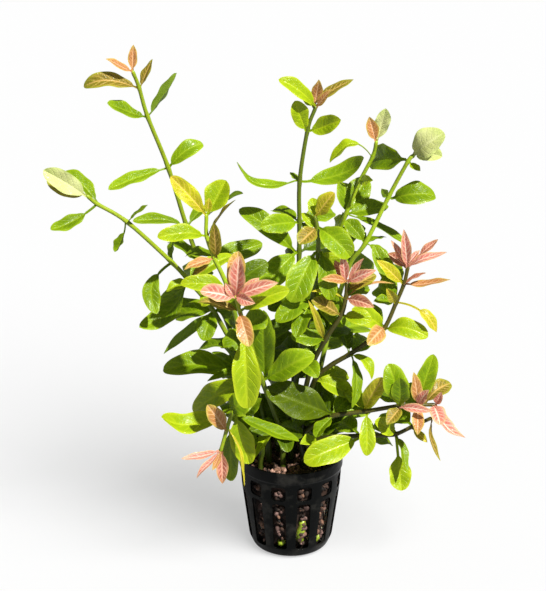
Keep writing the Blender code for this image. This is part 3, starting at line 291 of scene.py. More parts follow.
# The shoots as measured in the photo, each leaf as a row of a Leaf's values
SEEN_SHOOTS = (
    Stem("tall_left_stem", root=(-6, 5), path=(
        (-9.5, 62, 6), (-21.5, 91.5, 16), (-33.5, 125.5, 27), (-44, 150, 30), (-50, 168, 30),
        (-58, 196.5, 23), (-67, 221, 15), (-70.5, 234.5, 11), (-73, 241.5, 8),
    ), leaves=(
        (9, (-72.5, 254.5), 3, 4.5, 10, 0, "orange"), (9, (-85.5, 248), -6, 4.5, 40, 0, "orange"),
        (8, (-96, 235), -4, 8, 40, 0.2, "yellow"), (8, (-64, 248), 6, 6, 50, 0, "green"),
        (7, (-85.5, 227.5), -9, 8.5, 50, -0.01, "green"), (7, (-53, 241.5), 6, 9, 125, -0.05, "green"),
        (6, (-86.5, 186), -9, 8.5, 45, 0.04, "lime"), (6, (-41.5, 208), 4, 9, 30, 0.2, "lime"),
        (5, (-75.5, 170.5), -6, 8.5, 62, 0.1, "green"), (5, (-36, 179), 21, 8.5, 40, 0.1, "green"),
        (4, (-59, 159.5), 9, 9, 55, 0.1, "green"), (4, (-14, 159.5), 15, 11, 30, -0.06, "green"),
        (3, (-65.5, 126.5), -3, 10, 50, 0.12, "green"), (3, (-16, 150), 9, 11, 20, 0.08, "lime"),
        (2, (-39, 103.5), 6, 8.5, 60, 0.1, "green"), (2, (-32, 91), 18, 9, 40, 0.12, "green"),
        (3, (-27, 132.5), 18, 8.5, 40, 0.12, "green"), (4, (-50, 141), 16, 8.5, 40, 0.12, "green"),
        (1, (-7.5, 81.5), 18, 11, 30, 0.1, "green"), (1, (3.5, 77), 14, 11.5, 20, 0.1, "green"),
        (2, (-6.5, 104.5), 14, 12, 30, 0.1, "green"),
    )),
    Stem("low_left_stem", root=(-12, 0), path=(
        (-14.5, 60.5, 4), (-22.5, 93, 7), (-37.5, 124.5, 8), (-49, 140, 8), (-57.5, 150, 4), (-78, 170, -4),
        (-92, 179, -8), (-96, 182.5, -10),
    ), leaves=(
        (8, (-116.5, 195.5), -6, 9.5, 15, 0.05, "pale"), (8, (-115, 191.5), 3, 8.5, -30, 0.05, "bronze"),
        (7, (-108, 194), 9, 10.5, 60, 0.1, "green"), (7, (-114.5, 166), -12, 8.5, 35, -0.1, "green", 0.25),
        (6, (-68, 178.5), -4, 7, 80, 0, "green"), (6, (-84.5, 155), -4, 8, 60, -0.1, "green", 0.3),
        (5, (-65, 123.5), -12, 8.5, 20, 0.05, "green", 0.25, 0.22),
        (5, (-55, 163), 9, 8, 70, 0.05, "green"), (4, (-74, 116.5), -9, 12, 35, -0.26, "green"),
        (4, (-27.5, 153), 12, 9, 30, 0.08, "lime"), (3, (-43, 109.5), -12, 9.5, 10, 0.1, "green"),
        (3, (-62.5, 102.5), -6, 6.5, 150, 0, "green"), (2, (-63, 93.5), -6, 13, 35, 0.18, "green"),
        (2, (-41.5, 88), -3, 5, 30, 0.05, "green"), (4, (-63.5, 128.5), 3, 9, 35, 0, "green"),
        (2, (-34, 105.5), 14, 10.5, 40, 0.12, "green"), (3, (-56, 121.5), 9, 10.5, 40, 0.1, "green"),
        (3, (-26, 115), 14, 9.5, 40, 0.12, "green"), (4, (-60.5, 135), 3, 6.5, 30, 0.1, "lime"),
        (1, (-32.5, 70.5), 8, 10.5, 30, 0.1, "green"),
    )),
    Stem("front_rosette_stem", root=(-4, -10), path=(
        (-5.5, 62, -12), (-14.5, 89, -25), (-22, 115, -38), (-25, 124.5, -42), (-27, 132, -49),
    ), leaves=(
        (5, (-25.5, 155.5), 3, 8.5, 10, 0.05, "orange"), (5, (-25, 153), -4, 7.5, 0, 0.05, "pink"),
        (5, (-44, 135), -6, 8, 10, 0.08, "pink"), (5, (-6.5, 139.5), -3, 6.5, 20, 0.08, "pink"),
        (5, (-15.5, 142), 0, 5, 10, 0.05, "pink"), (5, (-32, 139.5), -4, 4, 0, 0.05, "pink"),
        (5, (-17.5, 129), -9, 5.5, 0, 0.08, "pink"), (4, (-1, 136), -3, 8.5, 25, 0.1, "lime"),
        (4, (-45.5, 129.5), 0, 7, 50, 0.08, "bronze"), (4, (-20.5, 106.5), -12, 8, 0, 0.08, "orange"),
        (3, (-21.5, 73.5), -9, 13, 5, 0.08, "lime"), (2, (-13.5, 125.5), -6, 12, 10, 0.05, "green"),
        (2, (11.5, 102), -9, 13, 15, 0.1, "lime"), (2, (-48.5, 71), 14, 13, 25, 0.12, "lime"),
        (1, (-17.5, 47), -9, 7, 40, 0.05, "lime"), (2, (-29, 93), -6, 8.5, 20, 0.1, "green"),
        (1, (-1.5, 49.5), -12, 8, 30, 0.1, "green"), (1, (-21.5, 60.5), -6, 8.5, 20, 0.1, "green"),
    )),
    Stem("yellow_tip_stem", root=(-11, -6), path=(
        (-12.5, 64.5, -6), (-23, 104.5, -11), (-30.5, 136, -11), (-37, 152, -11), (-40.5, 163, -11),
        (-40.5, 173, -11),
    ), leaves=(
        (6, (-57, 192.5), -3, 8.5, 15, 0.05, "yellow"),
        (6, (-31, 190.5), 3, 12, 10, 0.05, "lime", 0.07, 0, 0.35),
        (6, (-23, 184), 12, 8, 100, 0.05, "green"), (6, (-39, 182), 0, 4, 10, 0, "yellow"),
        (5, (-64, 162.5), -9, 8.5, 35, 0.12, "lime"), (5, (-26.5, 181), -6, 7, 80, 0.05, "bronze"),
        (4, (-37, 170), -9, 6, 5, 0, "bronze"), (4, (-51.5, 146), -9, 6, 30, 0.05, "orange"),
        (4, (-49, 141), -4, 6, 60, 0.05, "bronze"), (3, (-53.5, 139), -6, 8.5, 20, 0.1, "lime"),
        (3, (-11.5, 150), 6, 10, 20, 0.08, "green"), (2, (-45.5, 104.5), 12, 11, 60, 0.1, "green"),
        (2, (4, 121.5), 3, 11, 25, 0.1, "green"), (2, (-29, 116), 14, 8.5, 40, 0.12, "green"),
        (3, (-43.5, 127.5), -9, 9, 30, 0.1, "lime"), (4, (-50.5, 153), 8, 8, 60, 0.1, "green"),
        (1, (-27, 86.5), 10, 11, 40, 0.1, "green"), (1, (0.5, 73.5), 3, 7.5, 20, 0.1, "green"),
        (2, (-13.5, 112), 6, 7, 30, 0.1, "green"),
    )),
    Stem("low_front_stem", root=(-15, -11), path=(
        (-14.5, 58, -16), (-23, 68.5, -24), (-28.5, 71.5, -30), (-32, 62, -31), (-35, 51, -31),
    ), leaves=(
        (3, (-64.5, 69), -6, 11.5, 30, -0.32, "lime"), (3, (4, 55.5), -12, 8.5, 40, -0.05, "green"),
        (3, (-21, 43), -3, 12, 5, 0.06, "lime"), (4, (-41.5, 75.5), -8, 8, 10, 0.05, "orange"),
        (4, (-23.5, 30.5), -6, 3.5, 60, 0.08, "yellow"), (4, (-30.5, 33.5), 4, 9, 10, 0.05, "green"),
        (5, (-55, 46), -4, 4.5, 40, -0.06, "pink"), (5, (-47.5, 35), -4, 3.5, 40, 0, "pink"),
        (5, (-34.5, 32), -3, 6, 5, 0.05, "rose"), (5, (-39.5, 39.5), -4, 3, 10, 0, "orange"),
        (2, (-14.5, 79), -6, 7, 20, 0.08, "green"), (1, (-26.5, 53), -9, 8, 30, 0.08, "green"),
    )),
    Stem("tall_centre_stem", root=(2, 3), path=(
        (0.5, 67, 4), (2, 104.5, 11), (3, 130.5, 11), (3.5, 155, 10), (3.5, 170, 8), (3.5, 190, 4),
        (7, 214.5, 0), (10.5, 225, -2),
    ), leaves=(
        (8, (-6.5, 238.5), -6, 8, 35, 0.1, "lime"), (8, (28, 238.5), 0, 6.5, 55, 0.1, "bronze"),
        (8, (12, 238.5), -3, 5.5, 5, 0, "orange"), (8, (18, 234), -4, 4, 20, 0.05, "orange"),
        (8, (5, 232.5), 6, 6, 20, 0.05, "lime"), (7, (1, 228.5), -6, 8.5, 15, 0, "lime"),
        (7, (22.5, 219.5), -9, 9, 20, -0.04, "lime"), (6, (-26, 199.5), -6, 8.5, 55, -0.28, "green"),
        (6, (33.5, 201.5), -9, 11, 30, -0.2, "lime"), (5, (19.5, 175), 14, 10, 20, 0.1, "green"),
        (6, (-1, 194.5), 6, 3.5, 30, 0, "green"), (5, (-15, 167.5), -12, 10, 20, 0.08, "lime"),
        (5, (-9.5, 175.5), 12, 8.5, 60, 0.1, "green"), (4, (-25, 176.5), 6, 10.5, 20, 0.14, "green"),
        (4, (-14.5, 136.5), -12, 12, 10, 0.1, "lime"), (3, (-11.5, 126), -9, 9, 20, 0.1, "green"),
        (3, (25.5, 130.5), 9, 11, 20, 0.1, "green"), (2, (-20, 115), 18, 11, 20, 0.1, "green"),
        (2, (28.5, 112.5), 15, 11, 20, 0.1, "green"), (1, (24, 93), -6, 13, 20, 0.1, "green"),
        (1, (-19.5, 79), -3, 11, 20, 0.1, "green"), (2, (5, 112), 20, 7.5, 50, 0.12, "green"),
        (3, (8, 143), 20, 10, 50, 0.12, "green"), (4, (-2, 150), 20, 7.5, 50, 0.12, "green"),
        (5, (6.5, 159), 18, 9, 50, 0.12, "green"), (1, (14.5, 53), 16, 11, 30, 0.1, "green"),
        (2, (-10.5, 87.5), 14, 12, 30, 0.1, "green"), (4, (19, 161), 12, 10, 30, 0.1, "green"),
    )),
    Stem("right_back_stem", root=(8, 8), path=(
        (4.5, 67, 11), (13, 115, 27), (20, 156, 27), (25.5, 174, 23), (32, 190.5, 21), (37.5, 202, 19),
        (39, 208.5, 17),
    ), leaves=(
        (7, (35.5, 221), 0, 6, 10, 0, "orange"), (7, (43, 225), 0, 7.5, 10, 0, "pale"),
        (6, (17.5, 199), -6, 8, 55, 0.42, "lime", 0.3), (5, (38, 190.5), -12, 5.5, 20, 0.05, "lime"),
        (4, (34.5, 192), 12, 12, 10, 0.05, "green"), (4, (24, 189.5), 15, 11, 15, 0.05, "green"),
        (4, (45.5, 178), -3, 10.5, 30, 0.1, "green"), (4, (55.5, 158), -15, 8, 60, 0.05, "green"),
        (3, (5, 165), 12, 9, 40, 0.1, "green"), (3, (38.5, 141), 15, 11, 30, 0.1, "green"),
        (2, (38, 115), 21, 12, 30, 0.1, "green"), (2, (20.5, 122.5), 20, 9, 50, 0.12, "green"),
        (3, (14.5, 148), 18, 8.5, 50, 0.12, "green"), (4, (22, 162), 16, 9.5, 50, 0.12, "lime"),
        (1, (13, 82.5), 20, 12, 50, 0.1, "green"), (1, (25.5, 62), 12, 12, 30, 0.1, "green"),
        (1, (-8.5, 71.5), 14, 9, 30, 0.1, "green"), (2, (-1.5, 102.5), 14, 11.5, 30, 0.1, "green"),
        (3, (35, 167), 12, 11, 30, 0.1, "green"),
    )),
    Stem("right_stem", root=(13, 4), path=(
        (9.5, 67, 7), (18.5, 115, 15), (27, 147, 11), (35, 159.5, 8), (45.5, 182.5, 8), (54, 199.5, 4),
        (56.5, 202.5, 4),
    ), leaves=(
        (7, (70.5, 213.5), -4, 13, 10, 0.1, "pale"), (7, (70, 202), -9, 9, 30, 0.08, "pale"),
        (7, (62.5, 216), 6, 4, 20, 0, "bronze"), (6, (38, 201.5), 27, 13, 0, 0.08, "green"),
        (6, (60, 195), -6, 4, 40, 0, "lime"), (5, (67.5, 183), -3, 12, 15, 0.24, "green"),
        (5, (42, 186.5), -9, 4, 20, 0, "green"), (4, (45, 162.5), 6, 6, 70, 0.08, "green"),
        (4, (46.5, 150), -6, 7, 60, 0.08, "green"), (4, (25.5, 171), 6, 8, 20, 0.08, "green"),
        (3, (14.5, 136), 12, 10, 40, 0.1, "green"), (1, (40, 73.5), 6, 12, 30, 0.1, "green"),
        (3, (22, 139), 16, 8, 50, 0.12, "green"), (4, (27.5, 167), 12, 7.5, 60, 0.12, "green"),
        (1, (21, 84.5), 18, 12, 50, 0.1, "green"), (1, (-3.5, 56.5), 12, 10, 20, 0.1, "green"),
        (2, (3, 121.5), 10, 10, 30, 0.1, "green"),
    )),
    Stem("right_pink_stem", root=(15, -3), path=(
        (7.5, 64.5, -2), (12, 89.5, -9), (28.5, 102.5, -14), (45, 116, -15), (50.5, 129.5, -15),
        (54, 139, -15), (55.5, 147, -15),
    ), leaves=(
        (7, (53, 166.5), -4, 5, 5, 0.05, "pink"), (7, (47, 161), 0, 3.5, 10, 0, "pink"),
        (7, (69.5, 161.5), 3, 4, 30, 0, "rose", 0.4), (7, (74, 155), -4, 4.5, 30, 0.08, "pink"),
        (7, (61, 156), 3, 3.5, 20, 0, "pink"), (7, (46, 154.5), 6, 6, 20, 0.05, "rose"),
        (6, (64.5, 144.5), -4, 4, 60, 0.05, "rose"), (6, (76.5, 141), -6, 6, 50, -0.06, "orange"),
        (6, (40.5, 151), -3, 6.5, 20, 0.05, "yellow"), (5, (70.5, 114), -8, 6.5, 40, 0.22, "yellow", 0.45),
        (5, (39, 158.5), 12, 8.5, 30, 0.05, "green"), (5, (39.5, 130), -4, 6, 40, 0.05, "green"),
        (5, (45.5, 137), -10, 5, 10, 0.05, "yellow"), (4, (66.5, 111.5), -9, 10, 30, 0.24, "lime"),
        (4, (37, 107.5), -15, 8, 5, 0.1, "orange"), (4, (29, 126), -9, 10, 20, 0.08, "lime"),
        (3, (39.5, 89), -9, 7, 55, 0.3, "lime"), (3, (30, 73.5), -12, 7, 50, 0.1, "green"),
        (2, (31, 80), -3, 10, 20, 0.08, "lime"), (2, (-7.5, 98.5), 0, 10, 30, 0.08, "green"),
        (1, (19, 71.5), -10, 8.5, 30, 0.1, "green"), (3, (22.5, 117), 10, 9, 40, 0.1, "green"),
        (1, (-7.5, 55), -4, 9, 20, 0.1, "green"), (1, (26, 80), 6, 11, 20, 0.1, "green"),
        (2, (28, 91), 10, 9.5, 30, 0.1, "lime"),
    )),
    Stem("centre_pink_stem", root=(6, -9), path=(
        (4.5, 64.5, -8), (9, 93, -16), (16.5, 110, -23), (24, 123, -27), (26, 131.5, -27), (26.5, 139, -28),
    ), leaves=(
        (6, (20.5, 151), 0, 6, 10, 0.05, "rose"), (6, (24, 154.5), -4, 4.5, 5, 0, "pink"),
        (6, (34.5, 152), -2, 4, 20, 0.05, "pink"), (6, (14, 141.5), -8, 4.5, 30, 0.1, "orange"),
        (6, (40.5, 146), -6, 5, 20, 0.08, "pink"), (5, (40.5, 143.5), 3, 8, 30, 0.08, "bronze"),
        (5, (40, 127), -8, 6, 20, 0.12, "rose"), (5, (49.5, 139), 0, 4, 60, 0.15, "orange"),
        (5, (9.5, 135), -6, 5, 70, 0.05, "yellow"), (4, (9.5, 130.5), -3, 8, 30, 0.08, "bronze"),
        (4, (39, 119.5), -3, 8, 30, 0.08, "lime"), (3, (8, 130.5), -6, 4, 10, 0, "yellow"),
        (3, (-0.5, 112), -6, 9.5, 20, 0.08, "green"), (2, (4, 103.5), -9, 7, 20, 0.1, "lime"),
        (1, (2.5, 82.5), -12, 10, 20, 0.1, "green"), (2, (7, 107.5), 8, 8, 30, 0.1, "green"),
    )),
    Stem("low_right_stem", root=(12, -12), path=(
        (7, 59.5, -12), (20.5, 69.5, -18), (37, 72, -21), (54, 75, -25), (62.5, 75.5, -25),
        (70.5, 75.5, -25),
    ), leaves=(
        (6, (74, 82.5), -4, 4, 10, 0, "pink"), (6, (74, 64.5), -10, 8, 10, 0.12, "pink"),
        (6, (87, 57.5), -2, 7, 30, -0.28, "pink"), (5, (68, 83.5), -6, 5.5, 10, 0.05, "pink"),
        (5, (60, 93), -3, 6, 10, 0.05, "orange"), (5, (69.5, 102.5), 3, 9, 10, 0.03, "lime"),
        (5, (78.5, 87), 3, 8.5, 25, 0.2, "bronze"), (5, (63, 59), -9, 6, 10, 0.05, "orange"),
        (4, (47.5, 97.5), -3, 12, 10, 0.05, "lime"), (4, (53.5, 90), -9, 8.5, 10, 0.05, "green"),
        (4, (47.5, 64.5), -8, 7, 20, 0.05, "bronze"), (4, (70, 72), -9, 4.5, 20, 0.05, "pink"),
        (3, (45.5, 90), -9, 8.5, 20, 0.08, "yellow"), (3, (38, 47.5), -9, 8, 10, 0.05, "lime"),
        (2, (-12.5, 83), -9, 17, 5, 0.06, "green"), (2, (34, 84.5), 9, 11, 20, 0.08, "green"),
        (2, (12.5, 57.5), -9, 8, 40, 0.1, "green"), (3, (27, 82.5), 8, 8, 30, 0.08, "lime"),
        (1, (20.5, 54), 6, 8, 20, 0.1, "green"), (1, (-5.5, 64), -12, 8.5, 20, 0.1, "green"),
    )),
    Stem("lower_right_stem", root=(17, -7), path=(
        (13.5, 56.5, -12), (33.5, 58.5, -17), (52, 59.5, -18), (60, 63.5, -19), (69, 68, -21),
    ), leaves=(
        (5, (75, 44.5), -6, 4.5, 60, -0.12, "bronze"), (4, (68, 55), -4, 4, 20, 0, "yellow"),
        (3, (56, 28), -9, 11, 5, 0.05, "lime", 0.35), (3, (58.5, 38), -14, 5.5, 40, 0.08, "green"),
        (3, (41.5, 66.5), -8, 9, 15, 0.08, "lime"), (2, (6.5, 44), -12, 13, 10, 0.06, "lime"),
        (2, (50.5, 53.5), 9, 8, 40, 0.06, "green"), (1, (27, 72.5), 9, 10, 30, 0.1, "green"),
        (1, (4.5, 54), -12, 7, 20, 0.1, "lime"),
    )),
    Stem("centre_stem", root=(0, -4), path=(
        (0, 64.5, -6), (4, 99.5, -17), (10, 130.5, -23), (12.5, 155, -23), (12, 167, -23), (11, 172, -23),
    ), leaves=(
        (6, (20, 184.5), -4, 8, 10, 0.05, "yellow"), (6, (9.5, 182), 6, 6, 10, 0.05, "lime"),
        (5, (3.5, 159), -10, 8.5, 10, 0.08, "bronze"), (5, (28, 152.5), -9, 12, 15, 0.1, "lime"),
        (5, (4.5, 174.5), 4, 5, 20, 0.05, "lime"), (4, (-0.5, 129.5), -12, 13, 10, 0.1, "lime"),
        (4, (22, 146), 9, 8, 20, 0.08, "lime"), (3, (26, 118), -3, 10, 20, 0.08, "green"),
        (3, (-7.5, 119.5), -12, 10, 20, 0.08, "green"), (2, (-17.5, 96), 6, 11, 20, 0.08, "green"),
        (2, (13, 90), -14, 8.5, 20, 0.1, "green"), (3, (2, 111), -14, 9, 20, 0.1, "green"),
        (4, (18.5, 130.5), -9, 9, 20, 0.1, "green"), (3, (22.5, 137), 4, 7.5, 30, 0.1, "lime"),
        (1, (-12, 85.5), 0, 10.5, 20, 0.1, "green"),
    )),
)


def far_leaves(stem):
    """A leaf towards the back at each lower node, leaning left and right in turn, or inwards far out."""
    made = []
    for node, (x, z, depth) in enumerate(stem.path[:-1], start=1):
        if z > FAR_LEAF_TOP:
            break
        lean = FAR_LEAF_LEAN if node % 2 else -FAR_LEAF_LEAN
        if abs(x) > FAR_LEAF_INWARD:
            lean = -math.copysign(FAR_LEAF_LEAN, x)
        tip = (x + lean, z + FAR_LEAF_RISE)
        made.append(Leaf(
            node, tip, FAR_LEAF_DEPTH, FAR_LEAF_WIDTH, FAR_LEAF_TURN, FAR_LEAF_ARCH, "green"
        ))
    return made


SHOOTS = [
    stem._replace(leaves=[Leaf(*row) for row in stem.leaves] + far_leaves(stem))
    for stem in SEEN_SHOOTS
]


def on_sight_line(x, z, depth):
    """The point at this depth that the viewer sees at (x, z) of the plane y = 0."""
    near = Vector((x, 0.0, z))
    reach = (depth - VIEWER.y) / (0.0 - VIEWER.y)
    return VIEWER + (near - VIEWER) * reach


def catmull(before, start, end, after, t):
    """Point at a share t of a smooth span from start to end, between its outer neighbours."""
    return 0.5 * (
        2 * start
        + (end - before) * t
        + (2 * before - 5 * start + 4 * end - after) * t ** 2
        + (3 * start - before - 3 * end + after) * t ** 3
    )


def spans(points):
    """Each span of a path between its outer neighbours, with a mirrored point beyond either end."""
    ends = [2 * points[0] - points[1]] + list(points) + [2 * points[-1] - points[-2]]
    return [ends[index:index + 4] for index in range(len(points) - 1)]


def smooth_path(points):
    """Points along a smooth curve through the given ones, with more of them where it bends."""
    path = []
    for before, start, end, after in spans(points):
        turned = (end - start).angle(after - end) + (start - before).angle(end - start)
        steps = SPAN_POINTS if turned > BEND_ANGLE else 1
        path += [catmull(before, start, end, after, step / steps) for step in range(steps)]
    path.append(points[-1])
    return path


def stem_nodes(stem):
    """The stem's own points in space: two in the pot, then its nodes."""
    root_x, root_y = stem.root
    buried = [Vector((root_x, root_y, ROOT_DEPTH_HEIGHT)), Vector((root_x, root_y, ROOT_TOP_HEIGHT))]
    return buried + [on_sight_line(x, z, depth) for x, z, depth in stem.path]


def stem_radius(share):
    """Radius at a share of the stem's length from the root."""
    return STEM_BASE_RADIUS + (STEM_TIP_RADIUS - STEM_BASE_RADIUS) * share


def quads(rings, closed=True):
    """The corners of each face between one ring and the next."""
    for lower, upper in zip(rings, rings[1:]):
        for corner in range(len(lower) if closed else len(lower) - 1):
            after = (corner + 1) % len(lower)
            yield lower[corner], lower[after], upper[after], upper[corner]


class Blade:
    """The centre line, the turn and the width of one leaf."""

    def __init__(self, stem, leaf, change, collar_face):
        nodes = stem_nodes(stem)
        index = leaf.node + 1
        node = nodes[index]
        self.tip = tip_point(stem, leaf, change.shift)
        along = stem_direction(nodes, index)
        if collar_face:
            self.start = collar_face.centre
        else:
            is_end = index == len(nodes) - 1
            reach = stem_radius(index / (len(nodes) - 1)) * NODE_SWELL + LEAF_STANDOFF
            self.start = node + leaf_way(stem, leaf) * (reach + (NODE_HALF_LENGTH if is_end else 0.0))
        self.collar_face = collar_face
        chord = self.tip - self.start
        self.length = chord.length
        self.direction = chord.normalized()
        to_viewer = (VIEWER - self.start).normalized()
        facing = (to_viewer - self.direction * to_viewer.dot(self.direction)).normalized()
        upward = self.direction.cross(facing)
        if upward.dot(UP + STEM_SHARE_OF_UP * along) < 0.0:
            upward = -upward
        turn = math.radians(leaf.turn + change.spin)
        self.normal = math.cos(turn) * facing + math.sin(turn) * upward
        self.side = self.direction.cross(self.normal)
        self.arch = leaf.arch + change.lift
        self.sway = leaf.sway
        self.fold = leaf.fold
        self.petiole = leaf.petiole
        self.half_width = 0.5 * leaf.width * change.scale
        self.tip_taper = BROAD_TIP_TAPER if leaf.width > BROAD_LEAF_WIDTH else NARROW_TIP_TAPER
        self.shares = [*BLADE_SHARES]
        if self.petiole > LONG_STALK:
            moved = [share + 0.5 * self.petiole * (1.0 - share) for share in BLADE_SHARES]
            self.shares = [self.petiole] + moved

    def centre(self, t):
        """Point of the midrib at a share t of the leaf's length."""
        bow = 4.0 * t * (1.0 - t) * self.length
        straight = self.start + self.direction * (self.length * t)
        return straight + self.normal * (bow * self.arch) + self.side * (bow * self.sway)

    def width_at(self, t):
        """Half of the leaf's width at a share t of its length."""
        if t >= 1.0:
            return 0.0
        stalk = min(PETIOLE_HALF_WIDTH, 0.5 * self.half_width)
        if t <= self.petiole:
            return stalk
        s = (t - self.petiole) / (1.0 - self.petiole)
        widest = BASE_TAPER / (BASE_TAPER + self.tip_taper)
        body = (s / widest) ** BASE_TAPER * ((1.0 - s) / (1.0 - widest)) ** self.tip_taper
        return max(self.half_width * body, stalk * (1.0 - s))

    def frame_at(self, t):
        """Which way the midrib runs at a share t of the leaf's length, and which way the leaf faces there."""
        ahead = self.centre(min(1.0, t + MIDRIB_STEP))
        behind = self.centre(max(0.0, t - MIDRIB_STEP))
        tangent = (ahead - behind).normalized()
        return tangent, (self.normal - tangent * self.normal.dot(tangent)).normalized()

    def ring(self, share, margin=0.0):
        """Corners of the lens section: right edge, upper rib, left edge, lower rib."""
        tangent, normal = self.frame_at(share)
        centre = self.centre(share)
        half_width = self.width_at(share)
        rise = normal * (half_width * self.fold)
        reach = tangent.cross(normal) * (half_width + margin)
        thick = normal * (0.5 * BLADE_THICKNESS + margin)
        return [centre - reach + rise, centre + thick, centre + reach + rise, centre - thick]

    def base_ring(self, margin=0.0):
        """Corners that the leaf starts from: its own, or those of the stem's face it grows out of."""
        own = self.ring(0.0, margin)
        if not self.collar_face:
            return own
        turn = self.face_turn()
        corners = [self.collar_face.corners[(index - turn) % 4] for index in range(4)]
        return [corner + (corner - self.start).normalized() * margin for corner in corners]

    def face_turn(self):
        """How far the leaf's corners are counted on from those of its face."""
        own = self.ring(0.0)

        def match(turn):
            return sum(
                (own[(index + turn) % 4] - self.start).normalized().dot((corner - self.start).normalized())
                for index, corner in enumerate(self.collar_face.corners)
            )
        return max(range(4), key=match)

    def solid(self, margin=0.0, first=0.0):
        """Closed thin solid from a share of the leaf's length to its tip, as a bmesh in mm."""
        solid = bmesh.new()
        corner_rings = [self.base_ring(margin)] + [self.ring(share, margin) for share in self.shares]
        if first:
            mix = first / self.shares[0]
            corner_rings[0] = [a.lerp(b, mix) for a, b in zip(corner_rings[0], corner_rings[1])]
        rings = [[solid.verts.new(corner) for corner in corners] for corners in corner_rings]
        tip = solid.verts.new(self.centre(1.0) + self.direction * margin)
        solid.faces.new(reversed(rings[0]))
        for corners in quads(rings):
            solid.faces.new(corners)
        for corner in range(4):
            solid.faces.new((rings[-1][corner], rings[-1][(corner + 1) % 4], tip))
        bmesh.ops.triangulate(solid, faces=solid.faces, quad_method="SHORT_EDGE")
        return solid

    def tree(self, margin=0.0, first=0.0):
        """Search tree over the faces of the solid."""
        solid = self.solid(margin, first)
        tree = BVHTree.FromBMesh(solid)
        solid.free()
        return tree


def stem_direction(nodes, index):
    """Which way the stem runs at one of its nodes."""
    if index == len(nodes) - 1:
        return (nodes[index] - nodes[index - 1]).normalized()
    return (nodes[index + 1] - nodes[index - 1]).normalized()


def tip_point(stem, leaf, shift=0.0):
    """Where the leaf's tip is in space, moved back by a shift."""
    return on_sight_line(*leaf.tip, tip_depth(stem, leaf) + shift)


def leaf_way(stem, leaf):
    """Which way the leaf leaves its node: square to the stem, or straight on at the stem's end."""
    nodes = stem_nodes(stem)
    index = leaf.node + 1
    out = (tip_point(stem, leaf) - nodes[index]).normalized()
    if index == len(nodes) - 1:
        return out
    along = stem_direction(nodes, index)
    return (out - along * out.dot(along)).normalized()


def collar_faces(mesh):
    """The four sided faces of a stem's tube, in mm."""
    return {
        polygon.index: CollarFace(
            Vector(polygon.center) / MM,
            Vector(polygon.normal),
            [mesh.vertices[vertex].co / MM for vertex in polygon.vertices],
        )
        for polygon in mesh.polygons if len(polygon.vertices) == 4
    }


def nearest_face(faces, stem, leaf):
    """The free face at the leaf's node that looks most nearly the leaf's way."""
    node = stem_nodes(stem)[leaf.node + 1]
    out = leaf_way(stem, leaf)

    def fit(index):
        face = faces[index]
        too_far = max(0.0, (face.centre - node).length - NEAR_FACE)
        return face.normal.dot(out) - FAR_FACE_COST * too_far
    return max(faces, key=fit)


def hits_pot_or_floor(solid):
    """Whether any point of a leaf would be in or too near the pot, or too near the floor."""
    for vert in solid.verts:
        x, y, z = vert.co
        if z < POT_HEIGHT + OVER_RIM and math.hypot(x, y) < POT_RIM_RADIUS + OUTSIDE_RIM:
            return True
        if z < OVER_FLOOR:
            return True
    return False


def link_new(name, data):
    """A new object in the scene, of a mesh, a curve, a light or a camera."""
    made = bpy.data.objects.new(name, data)
    bpy.context.scene.collection.objects.link(made)
    return made


def mesh_as_seen(thing):
    """A new mesh of an object as its modifiers or bevel make it."""
    bpy.context.view_layer.update()
    seen = thing.evaluated_get(bpy.context.evaluated_depsgraph_get())
    return bpy.data.meshes.new_from_object(seen)


def welded_mesh(thing, name):
    """The same, with its vertices welded and its faces turned outwards."""
    mesh = mesh_as_seen(thing)
    mesh.name = name
    welded = bmesh.new()
    welded.from_mesh(mesh)
    bmesh.ops.remove_doubles(welded, verts=welded.verts, dist=WELD_DISTANCE)
    bmesh.ops.recalc_face_normals(welded, faces=welded.faces)
    welded.to_mesh(mesh)
    welded.free()
    return mesh


def stem_points(stem):
    """The stem's smooth path as (point, radius), with a short swollen collar at each node."""
    nodes = stem_nodes(stem)
    path = smooth_path(nodes)
    points = []
    for index, point in enumerate(path):
        radius = stem_radius(index / (len(path) - 1))
        is_node = index > 1 and any((point - node).length < SAME_SPOT for node in nodes[2:])
        if not is_node:
            points.append((point, radius))
            continue
        ahead = path[min(index + 1, len(path) - 1)]
        along = (ahead - path[index - 1]).normalized()
        points.append((point - along * NODE_HALF_LENGTH, radius * NODE_SWELL))
        points.append((point + along * NODE_HALF_LENGTH, radius * NODE_SWELL))
    last, radius = points[-1]
    points.append((last + along * NODE_HALF_LENGTH, STEM_END_SHARE * radius))
    return points


def tube_mesh(points, name):
    """A closed tube through (point, radius) pairs in mm, made as a bevelled curve."""
    curve = bpy.data.curves.new(name, "CURVE")
    curve.dimensions = "3D"
    curve.bevel_depth = MM
    curve.bevel_resolution = 1
    curve.use_fill_caps = True
    spline = curve.splines.new("POLY")
    spline.points.add(len(points) - 1)
    for index, (point, radius) in enumerate(points):
        spline.points[index].co = (*(point * MM), 1.0)
        spline.points[index].radius = radius
    tube = link_new(name, curve)
    mesh = welded_mesh(tube, name)
    bpy.data.objects.remove(tube)
    bpy.data.curves.remove(curve)
    return mesh


